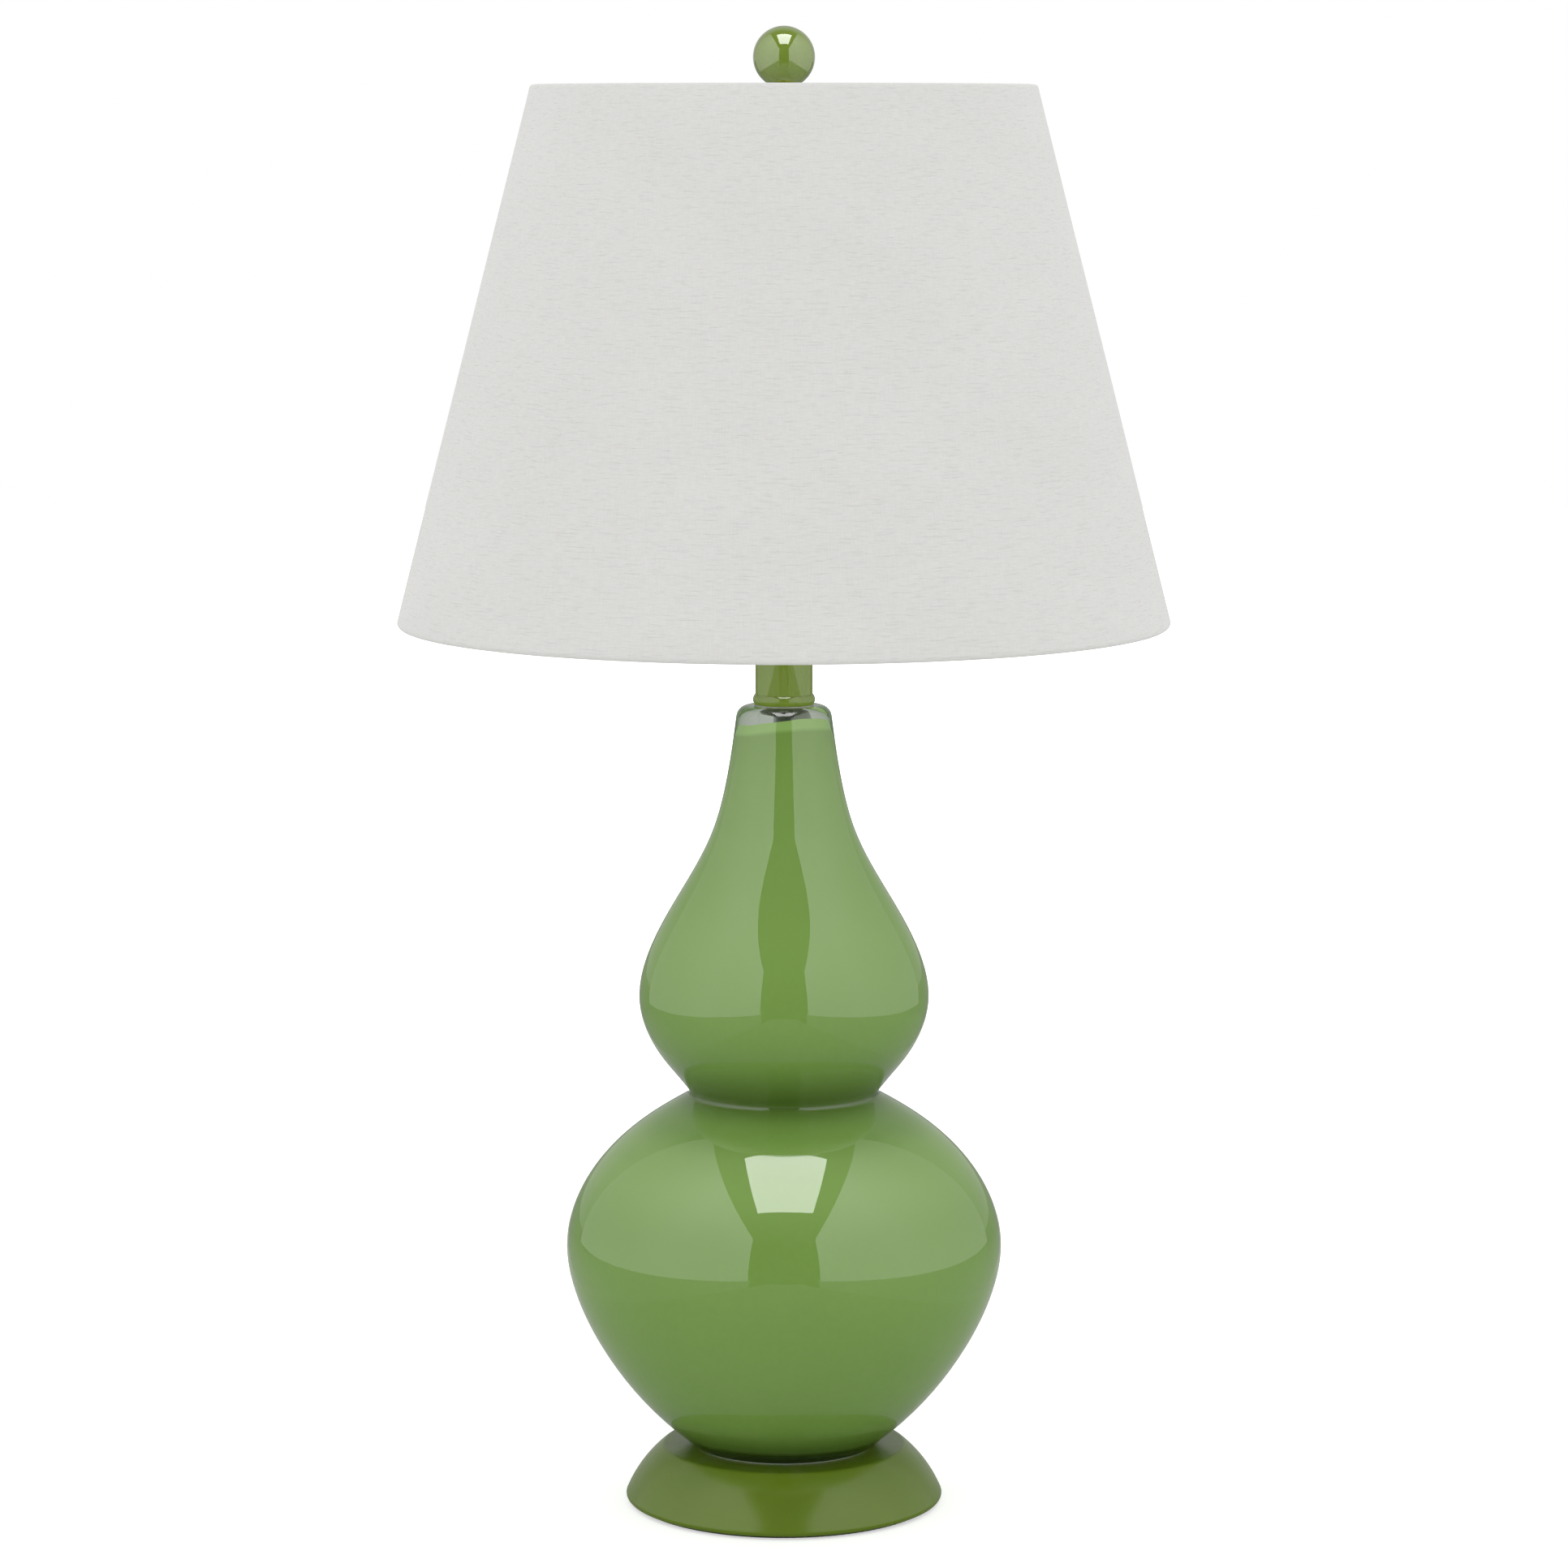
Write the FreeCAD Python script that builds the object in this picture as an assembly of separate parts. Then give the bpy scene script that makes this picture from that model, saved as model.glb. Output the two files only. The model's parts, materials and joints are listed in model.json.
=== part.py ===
"""Double gourd table lamp: painted foot, hollow glass gourd, neck, keyed socket, harp and tapered shade.

Millimetres, +Z up, origin on the table under the lamp's axis, front towards -Y. Every piece is turned or bent
about that axis unless its function says otherwise, and each function makes one piece that comes off on a bench.
One threaded pipe clamps the whole stack, from the nut inside the foot to the nut on top of the neck.
"""

import FreeCAD
import Part

import math
import os

Vector = FreeCAD.Vector
ORIGIN = Vector(0, 0, 0)
UP = Vector(0, 0, 1)
RIGHT = Vector(1, 0, 0)
FORWARD = Vector(0, -1, 0)

# Overall sizes
OVERALL_HEIGHT = 671.0
SHADE_BOTTOM_RADIUS = 174.4
SHADE_TOP_RADIUS = 112.5
SHADE_HEIGHT = 241.0
SHADE_TOP_BELOW_FINIAL_TOP = 25.4

# Foot: radius and level of its rim, its swelling side and its shoulder
FOOT_RIM = (73.4, 1.2)
FOOT_BELLY = (66.8, 14.0)
FOOT_SHOULDER = (55.4, 26.2)
FOOT_WALL = 2.4
FOOT_PLATE = 3.0
FOOT_RIM_ROUNDING = 1.9
FOOT_SHOULDER_ROUNDING = 3.0
FELT_THICKNESS = 1.6
FELT_RADIUS = 69.0
FELT_EDGE_ROUNDING = 0.5
BOARD_THICKNESS = 2.0

# Cord outlet, square to the foot's side at the rear
CORD_HOLE_LEVEL = 10.0
CORD_HOLE_RADIUS = 4.4
CORD_BORE_RADIUS = 3.2
CORD_COLLAR_RADIUS = 6.5
CORD_COLLAR_THICKNESS = 1.8
CORD_BARREL_DEPTH = 3.6

# Levels of the clamped stack
GASKET_THICKNESS = 0.7
GASKET_RADIUS = 40.3
GLASS_FOOT_LEVEL = FOOT_SHOULDER[1] + GASKET_THICKNESS
GLASS_TOP_LEVEL = 367.5
MOUTH_FLANGE_THICKNESS = 0.5
RING_LEVEL = GLASS_TOP_LEVEL + MOUTH_FLANGE_THICKNESS
RING_HEIGHT = 4.5
TUBE_SEAT_DEPTH = 1.0
TUBE_LEVEL = RING_LEVEL + RING_HEIGHT - TUBE_SEAT_DEPTH
TUBE_LENGTH = 51.0
NECK_CAP_LEVEL = TUBE_LEVEL + TUBE_LENGTH
NECK_CAP_THICKNESS = 1.5
NUT_LEVEL = NECK_CAP_LEVEL + NECK_CAP_THICKNESS
NUT_HEIGHT = 3.0
NUT_ACROSS_FLATS = 15.0
SADDLE_LEVEL = NUT_LEVEL + NUT_HEIGHT
SADDLE_THICKNESS = 1.6
SOCKET_LEVEL = SADDLE_LEVEL + SADDLE_THICKNESS

# Threaded pipe, and the weight and fasteners on its lower end
PIPE_RADIUS = 4.85
PIPE_BORE_RADIUS = 3.4
PIPE_HOLE_RADIUS = 5.1
PIPE_BOTTOM_LEVEL = 9.0
PIPE_TOP_LEVEL = SOCKET_LEVEL + 8.0
WEIGHT_RADIUS = 46.0
WEIGHT_THICKNESS = 8.0
WEIGHT_LEVEL = FOOT_SHOULDER[1] - FOOT_PLATE - WEIGHT_THICKNESS
WEIGHT_LOWER_ROUNDING = 1.5
WEIGHT_UPPER_ROUNDING = 1.0
FLAT_WASHER_RADIUS = 12.0
FLAT_WASHER_THICKNESS = 1.3
LOCK_WASHER_RADIUS = 8.0
LOCK_WASHER_THICKNESS = 1.0
LOCK_WASHER_SPLIT = 1.2

# Glass gourd: radius and level of the points that its outline passes through
LOWER_BELLY = [(41.8, GLASS_FOOT_LEVEL), (57.0, 40.0), (84.7, 75.0), (96.0, 100.0), (99.3, 122.0),
               (92.7, 145.0), (77.9, 165.0), (62.2, 178.0), (42.1, 190.2)]
UPPER_BELLY = [(42.1, 190.2), (49.2, 199.0), (56.4, 208.0), (65.8, 232.0), (60.2, 258.0), (42.5, 290.0),
               (32.5, 310.0), (26.8, 330.0), (21.0, GLASS_TOP_LEVEL)]
GLASS_REACH = 110.0
GLASS_WALL = 4.0
GLASS_FLOOR = 7.0
GLASS_FLOOR_ROUNDING = 8.0
GLASS_MOUTH_RADIUS = 10.6
GLASS_FOOT_HOLE_RADIUS = 8.0
WAIST_ROUNDING = 2.2
SHOULDER_ROUNDING = 5.4
GLASS_FOOT_ROUNDING = 1.2
WALL_SAMPLES = 12

# Neck
MOUTH_FLANGE_RADIUS = 13.4
MOUTH_PLUG_DEPTH = 4.0
RING_RADIUS = 14.1
RING_EDGE_RADIUS = 13.2
TUBE_RADIUS = 13.0
TUBE_WALL = 0.8
NECK_CAP_RADIUS = 13.4
NECK_SPIGOT_DEPTH = 3.0

# Harp and its saddle
HARP_TOP_LEVEL = 630.0
HARP_WIRE_RADIUS = 1.6
HARP_LEG_SPREAD = 26.0
HARP_BELLY_SPREAD = 55.0
HARP_LEG_LENGTH = 28.0
HARP_TOP_RUN = 10.0
HARP_CORNER_RADIUS = 22.0
HARP_CORNER_TURN = 62.0
HARP_BELLY_SHARE = 0.62
HARP_EYE_RADIUS = 7.0
HARP_EYE_THICKNESS = 2.5
HARP_SEAT_GAP = 0.1
SADDLE_DISC_RADIUS = 10.0
SADDLE_BAR_WIDTH = 7.0
TAB_WIDTH = 4.0
TAB_THICKNESS = 1.5
TAB_HEIGHT = 13.0
TAB_TIP_ROUNDING = 1.6
TAB_INNER_FACE = HARP_LEG_SPREAD + HARP_WIRE_RADIUS + 0.1
SLEEVE_SPREAD = 26.8
SLEEVE_RADIUS = 4.3
SLEEVE_BORE_RADIUS = 3.4
SLEEVE_LIP_RADIUS = 5.0
SLEEVE_LIP_HEIGHT = 1.6
SLEEVE_LENGTH = 12.0
SLEEVE_LEVEL = SOCKET_LEVEL + 0.4

# Stud, finial and the play between them
RUNNING_CLEARANCE = 0.05
STUD_SHANK_RADIUS = 2.45
STUD_RIVET_RADIUS = 4.0
STUD_RIVET_THICKNESS = 1.2
STUD_SHOULDER_RADIUS = 6.0
STUD_SHOULDER_HEIGHT = 2.0
STUD_RADIUS = 3.1
STUD_TOP_LEVEL = 646.0
STUD_TOP_CHAMFER = 0.775
WASHER_LEVEL = HARP_TOP_LEVEL + STUD_SHOULDER_HEIGHT
WASHER_THICKNESS = 1.5
WASHER_RADIUS = 12.0
WASHER_BORE_RADIUS = 3.3
FINIAL_LEVEL = WASHER_LEVEL + WASHER_THICKNESS
FINIAL_RADIUS = 13.8
FINIAL_CENTRE = OVERALL_HEIGHT - FINIAL_RADIUS
FINIAL_COLLAR_RADIUS = 7.0
INSERT_FLANGE_RADIUS = 8.0
INSERT_FLANGE_HEIGHT = 2.5
INSERT_RADIUS = 4.5
INSERT_BORE_RADIUS = 3.25
INSERT_TOP_LEVEL = 650.0

# Shade: layers are measured inwards from the outer skin, and lengths up the slant from the lower rim
SHADE_TOP_LEVEL = OVERALL_HEIGHT - SHADE_TOP_BELOW_FINIAL_TOP
SHADE_BOTTOM_LEVEL = SHADE_TOP_LEVEL - SHADE_HEIGHT
SHADE_SLANT = math.hypot(SHADE_BOTTOM_RADIUS - SHADE_TOP_RADIUS, SHADE_HEIGHT)
FABRIC = 0.6
LINER = 0.5
RING_WIRE_RADIUS = 1.5
HEM_RADIUS = RING_WIRE_RADIUS + FABRIC
FLAP_LEAVES_WIRE = 3.4
FLAP_MEETS_LINER = 8.5
FLAP_LENGTH = 16.0
LINER_MARGIN = 4.5
SPIDER_ARMS = 3
SPIDER_ARM_START = 10.0
SPIDER_FIRST_AZIMUTH = 90.0
SPIDER_WIRE_RADIUS = 1.3
SPIDER_KNEE_RADIUS = 94.0
SPIDER_KNEE_ROUNDING = 8.0
SPIDER_NOTCH_RADIUS = 1.9

# Socket: levels are heights above the saddle
CAP_HUB_RADIUS = 7.2
CAP_HUB_TOP = 8.0
CAP_RADIUS = 17.4
CAP_TOP = 17.0
CUP_START = 5.0
CUP_SIDE = (14.6, 8.3)
CUP_SIDE_INSIDE = (14.1, 8.7)
SHEET_METAL = 0.6
SHELL_BOTTOM = 14.0
SHELL_TOP = 61.0
SHELL_BEAD_LEVEL = 20.0
SHELL_BEAD_RADIUS = 0.7
FIBRE = 0.8
LINER_BOTTOM = 17.0
LINER_TOP = 62.5
BODY_RADIUS = 14.4
BODY_FLANGE = 2.0
BODY_TOP = 35.0
SCREW_SHELL_RADIUS = 13.9
SCREW_SHELL_BORE_RADIUS = 13.35
SCREW_SHELL_TOP = 60.0
KNOB_LEVEL = 26.0
STEM_RADIUS = 1.7
STEM_HOLE_RADIUS = 2.6
STEM_DEPTH = 8.0
STEM_END = 31.5
STEM_SEAT_PLAY = 1.0
KNOB_NEAR = 21.5
KNOB_LENGTH = 15.0
KNOB_NEAR_RADIUS = 5.4
KNOB_FAR_RADIUS = 6.6
KNOB_FLUTES = 16
KNOB_FLUTE_RADIUS = 0.75
KNOB_FLUTE_DEPTH = 0.56
KNOB_DOME_SIDE = (0.7, 0.7)
KNOB_DOME_START = 2.0
KNOB_DOME_INSET = 2.2
SET_SCREW_LEVEL = 2.8
SET_SCREW_RADIUS = 1.5
SET_SCREW_END = 10.0
SET_SCREW_SLOT_DEPTH = 0.8
SET_SCREW_SLOT_WIDTH = 0.5
TERMINAL_LEVEL = 24.5
TERMINAL_FLAT = 12.3
TERMINAL_HEAD_RADIUS = 3.2
TERMINAL_HEAD_THICKNESS = 1.6
TERMINAL_SLOT_DEPTH = 0.6
TERMINAL_SLOT_WIDTH = 0.8
TERMINAL_SHANK_RADIUS = 1.4
TERMINAL_SHANK_DEPTH = 4.0

# Bulb: heights above its tip, which stands just clear of the sprung contact
CONTACT_TOP = 37.2
CONTACT_THICKNESS = 0.5
CONTACT_WIDTH = 5.0
CONTACT_FOOT_END = 9.5
CONTACT_RAMP_FOOT = 6.0
CONTACT_PAD_END = 3.0
CONTACT_GAP = 0.3
BULB_TIP_LEVEL = SOCKET_LEVEL + CONTACT_TOP + CONTACT_GAP
BULB_TIP_RADIUS = 3.5
BULB_TIP_HEIGHT = 1.0
BULB_TIP_ROUNDING = 0.7
BULB_INSULATOR_HEIGHT = 4.5
BULB_INSULATOR_RADIUS = 11.0
BULB_INSULATOR_TIP_RADIUS = 4.3
BULB_CAP_RADIUS = 13.1
BULB_CAP_HEIGHT = 26.0
BULB_CAP_FOOT_RADIUS = 11.6
BULB_CAP_FOOT_HEIGHT = 1.5
BULB_NECK_RADIUS = 12.9
BULB_FLARE = [(19.5, 45.0), (27.2, 60.0)]
BULB_RADIUS = 30.0
BULB_LENGTH = 107.0
BULB_WALL = 1.0


# Profiles are points (radius, level) in the plane of the axis


def at(point):
    """A profile point's place in space."""
    return Vector(point[0], 0, point[1])


def line(start, end):
    """A straight edge between two profile points."""
    return Part.LineSegment(at(start), at(end)).toShape()


def arc(start, middle, end):
    """A round edge through three profile points."""
    return Part.Arc(at(start), at(middle), at(end)).toShape()


def path_through(*points):
    """Straight sides through the points, without a closing side."""
    return [line(a, b) for a, b in zip(points, points[1:])]


def turn(edges):
    """The solid that a closed profile sweeps about the lamp's axis."""
    solid = Part.Face(Part.Wire(Part.__sortEdges__(edges))).revolve(ORIGIN, UP, 360)
    return solid if solid.Volume > 0 else solid.reversed()


def turned(*points):
    """A turned solid with straight sides."""
    return turn(path_through(*points, points[0]))


def ring(outer, inner, bottom, top):
    """A plain round collar between two levels."""
    return turned((inner, bottom), (outer, bottom), (outer, top), (inner, top))


def disc(radius, bottom, top):
    """A plain round disc between two levels."""
    return Part.makeCylinder(radius, top - bottom, Vector(0, 0, bottom))


def rod(radius, start, end, centre, axis):
    """A round bar along an axis, between two distances from the centre."""
    return Part.makeCylinder(radius, end - start, centre + axis * start, axis)


def rounded(solid, rings):
    """Rounds the circular edges of the given radius and level, each by its own rounding."""
    for (radius, level), rounding in rings:
        edges = [e for e in solid.Edges
                 if isinstance(e.Curve, Part.Circle)
                 and abs(e.Curve.Radius - radius) < 0.02 and abs(e.Curve.Center.z - level) < 0.02]
        solid = solid.makeFillet(rounding, edges)
    return solid


def hexagon(bottom, height):
    """A hexagonal nut on the pipe."""
    corner = NUT_ACROSS_FLATS / math.sqrt(3)
    angles = [math.radians(60 * i) for i in range(7)]
    outline = Part.makePolygon([Vector(corner * math.cos(a), corner * math.sin(a), bottom) for a in angles])
    return Part.Face(outline).extrude(UP * height).cut(disc(PIPE_RADIUS, bottom, bottom + height))


def wire_along(edges, radius):
    """A round wire along a path of tangent edges."""
    path = Part.Wire(edges)
    first = path.OrderedEdges[0]
    start, heading = first.valueAt(first.FirstParameter), first.tangentAt(first.FirstParameter)
    section = Part.Wire([Part.makeCircle(radius, start, heading)])
    return path.makePipeShell([section], True, False)


# Foot of the lamp


def foot_form(wall, plate):
    """The foot's outer form, or the hollow that lies a wall and a plate inside it."""
    rim = (FOOT_RIM[0] - wall, FOOT_RIM[1])
    belly = (FOOT_BELLY[0] - wall, FOOT_BELLY[1])
    shoulder = (FOOT_SHOULDER[0] - wall, FOOT_SHOULDER[1] - plate)
    form = turn([arc(rim, belly, shoulder)] + path_through(shoulder, (0, shoulder[1]), (0, rim[1]), rim))
    return rounded(form, [(shoulder, FOOT_SHOULDER_ROUNDING - wall / 2)])


def cord_outlet():
    """Centre of the cord's hole on the foot's side, and the direction square to that side."""
    side = Part.Arc(Vector(0, *FOOT_RIM), Vector(0, *FOOT_BELLY), Vector(0, *FOOT_SHOULDER)).toShape().Curve
    centre = side.Center
    reach = math.sqrt(side.Radius ** 2 - (CORD_HOLE_LEVEL - centre.z) ** 2)
    hole = Vector(0, centre.y + reach, CORD_HOLE_LEVEL)
    return hole, (hole - centre).normalize()


def base_foot():
    """Spun foot: rolled rim, swelling side, flat seat for the glass, pipe hole and the cord's hole."""
    hole, outwards = cord_outlet()
    shell = rounded(foot_form(0, 0), [(FOOT_RIM, FOOT_RIM_ROUNDING)]).cut(foot_form(FOOT_WALL, FOOT_PLATE))
    shell = shell.cut(disc(PIPE_HOLE_RADIUS, 0, GLASS_FOOT_LEVEL))
    return shell.cut(rod(CORD_HOLE_RADIUS, -2 * FOOT_WALL, 2 * FOOT_WALL, hole, outwards))


def cord_bushing():
    """Bushing for the cord: a barrel through the wall, and a collar that follows the foot's side."""
    hole, outwards = cord_outlet()
    collar = rod(CORD_COLLAR_RADIUS, -CORD_COLLAR_THICKNESS, CORD_COLLAR_THICKNESS, hole, outwards)
    barrel = rod(CORD_HOLE_RADIUS, -CORD_BARREL_DEPTH, 0, hole, outwards)
    bore = rod(CORD_BORE_RADIUS, -2 * CORD_BARREL_DEPTH, 2 * CORD_BARREL_DEPTH, hole, outwards)
    return collar.cut(foot_form(0, 0)).fuse(barrel).removeSplitter().cut(bore)


def bottom_felt():
    """Felt pad that the lamp stands on."""
    return rounded(disc(FELT_RADIUS, 0, FELT_THICKNESS), [((FELT_RADIUS, 0), FELT_EDGE_ROUNDING)])


def bottom_board():
    """Fibreboard disc pressed into the foot, with its edge against the wall."""
    slab = disc(FOOT_RIM[0], FELT_THICKNESS, FELT_THICKNESS + BOARD_THICKNESS)
    return slab.common(foot_form(FOOT_WALL, FOOT_PLATE))


def base_weight():
    """Cast disc that keeps the lamp steady."""
    top = WEIGHT_LEVEL + WEIGHT_THICKNESS
    weight = ring(WEIGHT_RADIUS, PIPE_HOLE_RADIUS, WEIGHT_LEVEL, top)
    return rounded(weight, [((WEIGHT_RADIUS, WEIGHT_LEVEL), WEIGHT_LOWER_ROUNDING),
                            ((WEIGHT_RADIUS, top), WEIGHT_UPPER_ROUNDING)])


def flat_washer():
    """Plain washer under the weight."""
    return ring(FLAT_WASHER_RADIUS, PIPE_HOLE_RADIUS, WEIGHT_LEVEL - FLAT_WASHER_THICKNESS, WEIGHT_LEVEL)


def lock_washer():
    """Split spring washer under the flat one."""
    top = WEIGHT_LEVEL - FLAT_WASHER_THICKNESS
    whole = ring(LOCK_WASHER_RADIUS, PIPE_HOLE_RADIUS, top - LOCK_WASHER_THICKNESS, top)
    split = Part.makeBox(LOCK_WASHER_SPLIT, LOCK_WASHER_RADIUS, top, Vector(-LOCK_WASHER_SPLIT / 2, 0, 0))
    return whole.cut(split)


def pipe_nut_lower():
    """Nut that draws the whole stack together from below."""
    top = WEIGHT_LEVEL - FLAT_WASHER_THICKNESS - LOCK_WASHER_THICKNESS
    return hexagon(top - NUT_HEIGHT, NUT_HEIGHT)


def lamp_pipe():
    """Pipe from the foot to the socket's hub."""
    return ring(PIPE_RADIUS, PIPE_BORE_RADIUS, PIPE_BOTTOM_LEVEL, PIPE_TOP_LEVEL)


# Glass gourd


def spline(points):
    """Smooth curve through profile points."""
    curve = Part.BSplineCurve()
    curve.interpolate([at(p) for p in points])
    return curve


def inside(curve):
    """Points a wall's thickness inside a curve that runs upwards."""
    first, last = curve.FirstParameter, curve.LastParameter
    points = []
    for i in range(WALL_SAMPLES):
        u = first + (last - first) * i / (WALL_SAMPLES - 1)
        here, along = curve.value(u), curve.tangent(u)[0]
        points.append((here.x - along.z * GLASS_WALL, here.z + along.x * GLASS_WALL))
    return points


def glass_gourd():
    """Blown body: two bellies that meet at a tight waist, a thick floor and a rounded lip round the mouth."""
    lower, upper = spline(LOWER_BELLY), spline(UPPER_BELLY)
    foot, waist, mouth = LOWER_BELLY[0], UPPER_BELLY[0], UPPER_BELLY[-1]
    outer = turn([lower.toShape(), upper.toShape()] + path_through(mouth, (0, mouth[1]), (0, foot[1]), foot))
    outer = rounded(outer, [(waist, WAIST_ROUNDING), (mouth, SHOULDER_ROUNDING), (foot, GLASS_FOOT_ROUNDING)])

    below, above = inside(lower), inside(upper)
    hollow = turn([spline(below).toShape(), arc(below[-1], (waist[0] - GLASS_WALL, waist[1]), above[0]),
                   spline(above).toShape()]
                  + path_through(above[-1], (0, above[-1][1]), (0, below[0][1]), below[0]))
    floor, ceiling = GLASS_FOOT_LEVEL + GLASS_FLOOR, GLASS_TOP_LEVEL - GLASS_WALL
    hollow = hollow.common(disc(GLASS_REACH, floor, ceiling))
    floor_edges = [e for e in hollow.Edges if e.BoundBox.ZMax < floor + 0.01]
    hollow = hollow.makeFillet(GLASS_FLOOR_ROUNDING, floor_edges)
    mouth_hole = disc(GLASS_MOUTH_RADIUS, ceiling - 1, mouth[1] + 1)
    foot_hole = disc(GLASS_FOOT_HOLE_RADIUS, foot[1] - 1, floor + 1)
    return outer.cut(hollow).cut(mouth_hole).cut(foot_hole)


def glass_gasket():
    """Thin washer that the glass stands on."""
    return ring(GASKET_RADIUS, PIPE_HOLE_RADIUS, FOOT_SHOULDER[1], GLASS_FOOT_LEVEL)


def mouth_bushing():
    """Flanged plug that centres the pipe in the glass mouth and cushions the neck ring."""
    plug = GLASS_MOUTH_RADIUS
    return turned((PIPE_RADIUS, GLASS_TOP_LEVEL - MOUTH_PLUG_DEPTH), (plug, GLASS_TOP_LEVEL - MOUTH_PLUG_DEPTH),
                  (plug, GLASS_TOP_LEVEL), (MOUTH_FLANGE_RADIUS, GLASS_TOP_LEVEL),
                  (MOUTH_FLANGE_RADIUS, RING_LEVEL), (PIPE_RADIUS, RING_LEVEL))


# Neck


def neck_ring():
    """Half-round bead with a recess on top that seats the tube."""
    top, seat = RING_LEVEL + RING_HEIGHT, TUBE_LEVEL
    lower_edge, upper_edge = (RING_EDGE_RADIUS, RING_LEVEL), (RING_EDGE_RADIUS, top)
    bead = arc(lower_edge, (RING_RADIUS, RING_LEVEL + RING_HEIGHT / 2), upper_edge)
    rest = path_through(upper_edge, (TUBE_RADIUS, top), (TUBE_RADIUS, seat), (PIPE_HOLE_RADIUS, seat),
                        (PIPE_HOLE_RADIUS, RING_LEVEL), lower_edge)
    return turn([bead] + rest)


def neck_tube():
    """Plain tube between the bead and the cap."""
    return ring(TUBE_RADIUS, TUBE_RADIUS - TUBE_WALL, TUBE_LEVEL, NECK_CAP_LEVEL)


def neck_cap():
    """Cap of the neck, with a spigot that centres it in the tube."""
    spigot, spigot_level = TUBE_RADIUS - TUBE_WALL, NECK_CAP_LEVEL - NECK_SPIGOT_DEPTH
    cap = turned((PIPE_HOLE_RADIUS, spigot_level), (spigot, spigot_level),
                 (spigot, NECK_CAP_LEVEL), (NECK_CAP_RADIUS, NECK_CAP_LEVEL),
                 (NECK_CAP_RADIUS, NUT_LEVEL), (PIPE_HOLE_RADIUS, NUT_LEVEL))
    return rounded(cap, [((NECK_CAP_RADIUS, NUT_LEVEL), NECK_CAP_THICKNESS / 2)])


def pipe_nut_upper():
    """Nut on top of the neck, under the saddle."""
    return hexagon(NUT_LEVEL, NUT_HEIGHT)


# Harp


def harp_saddle():
    """Disc under the socket with a bar to either side, whose ends turn up as the harp's tabs."""
    bar_end = TAB_INNER_FACE + TAB_THICKNESS
    saddle = disc(SADDLE_DISC_RADIUS, SADDLE_LEVEL, SOCKET_LEVEL)
    saddle = saddle.fuse(Part.makeBox(2 * bar_end, SADDLE_BAR_WIDTH, SADDLE_THICKNESS,
                                      Vector(-bar_end, -SADDLE_BAR_WIDTH / 2, SADDLE_LEVEL)))
    for inner_face in (TAB_INNER_FACE, -bar_end):
        tab = Part.makeBox(TAB_THICKNESS, TAB_WIDTH, SADDLE_THICKNESS + TAB_HEIGHT,
                           Vector(inner_face, -TAB_WIDTH / 2, SADDLE_LEVEL))
        tip = [e for e in tab.Edges
               if abs(e.BoundBox.ZMin - (SOCKET_LEVEL + TAB_HEIGHT)) < 0.01 and e.BoundBox.YLength < 0.01]
        saddle = saddle.fuse(tab.makeFillet(TAB_TIP_ROUNDING, tip))
    return saddle.removeSplitter().cut(disc(PIPE_HOLE_RADIUS, SADDLE_LEVEL, SOCKET_LEVEL))


def bend(start, heading, turn_angle, radius):
    """An arc from a point, turning clockwise where the angle is negative: its edge, end and new heading."""
    side = math.copysign(1, turn_angle)
    centre = (start[0] - side * radius * math.sin(heading), start[1] + side * radius * math.cos(heading))

    def on_arc(angle):
        return (centre[0] + side * radius * math.sin(angle), centre[1] - side * radius * math.cos(angle))

    end = on_arc(heading + turn_angle)
    return arc(start, on_arc(heading + turn_angle / 2), end), end, heading + turn_angle


def harp_wire():
    """Sprung wire: straight legs, pear-shaped bellies, rounded shoulders and a flat eye for the stud."""
    level = HARP_TOP_LEVEL - HARP_EYE_THICKNESS / 2
    foot = SOCKET_LEVEL + HARP_SEAT_GAP
    corner = math.radians(HARP_CORNER_TURN)
    top_end = (HARP_TOP_RUN, level)
    shoulder, at_shoulder, heading = bend(top_end, 0, -corner, HARP_CORNER_RADIUS)

    side_radius = (HARP_BELLY_SPREAD - at_shoulder[0]) / (1 - math.sin(corner))
    side, at_belly, heading = bend(at_shoulder, heading, corner - math.pi / 2, side_radius)

    inwards = HARP_BELLY_SPREAD - HARP_LEG_SPREAD
    downwards = at_belly[1] - foot - HARP_LEG_LENGTH
    tuck = 2 * math.atan(inwards / downwards)
    reach = downwards / math.sin(tuck)
    belly, at_tuck, heading = bend(at_belly, heading, -tuck, reach * HARP_BELLY_SHARE)
    ankle, at_ankle, heading = bend(at_tuck, heading, tuck, reach * (1 - HARP_BELLY_SHARE))
    leg = line(at_ankle, (HARP_LEG_SPREAD, foot))

    half = [line((0, level), top_end), shoulder, side, belly, ankle, leg]
    right = wire_along(half, HARP_WIRE_RADIUS)
    left = right.mirror(ORIGIN, RIGHT)
    eye = disc(HARP_EYE_RADIUS, HARP_TOP_LEVEL - HARP_EYE_THICKNESS, HARP_TOP_LEVEL)
    hole = disc(STUD_SHANK_RADIUS + RUNNING_CLEARANCE, level - HARP_EYE_THICKNESS, HARP_TOP_LEVEL + 1)
    over_eye = disc(HARP_EYE_RADIUS + 1, HARP_TOP_LEVEL, HARP_TOP_LEVEL + HARP_EYE_THICKNESS)
    under_eye = disc(HARP_EYE_RADIUS + 1, level - HARP_EYE_THICKNESS, HARP_TOP_LEVEL - HARP_EYE_THICKNESS)
    return right.fuse([left, eye]).cut(over_eye).cut(under_eye).cut(hole)


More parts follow.
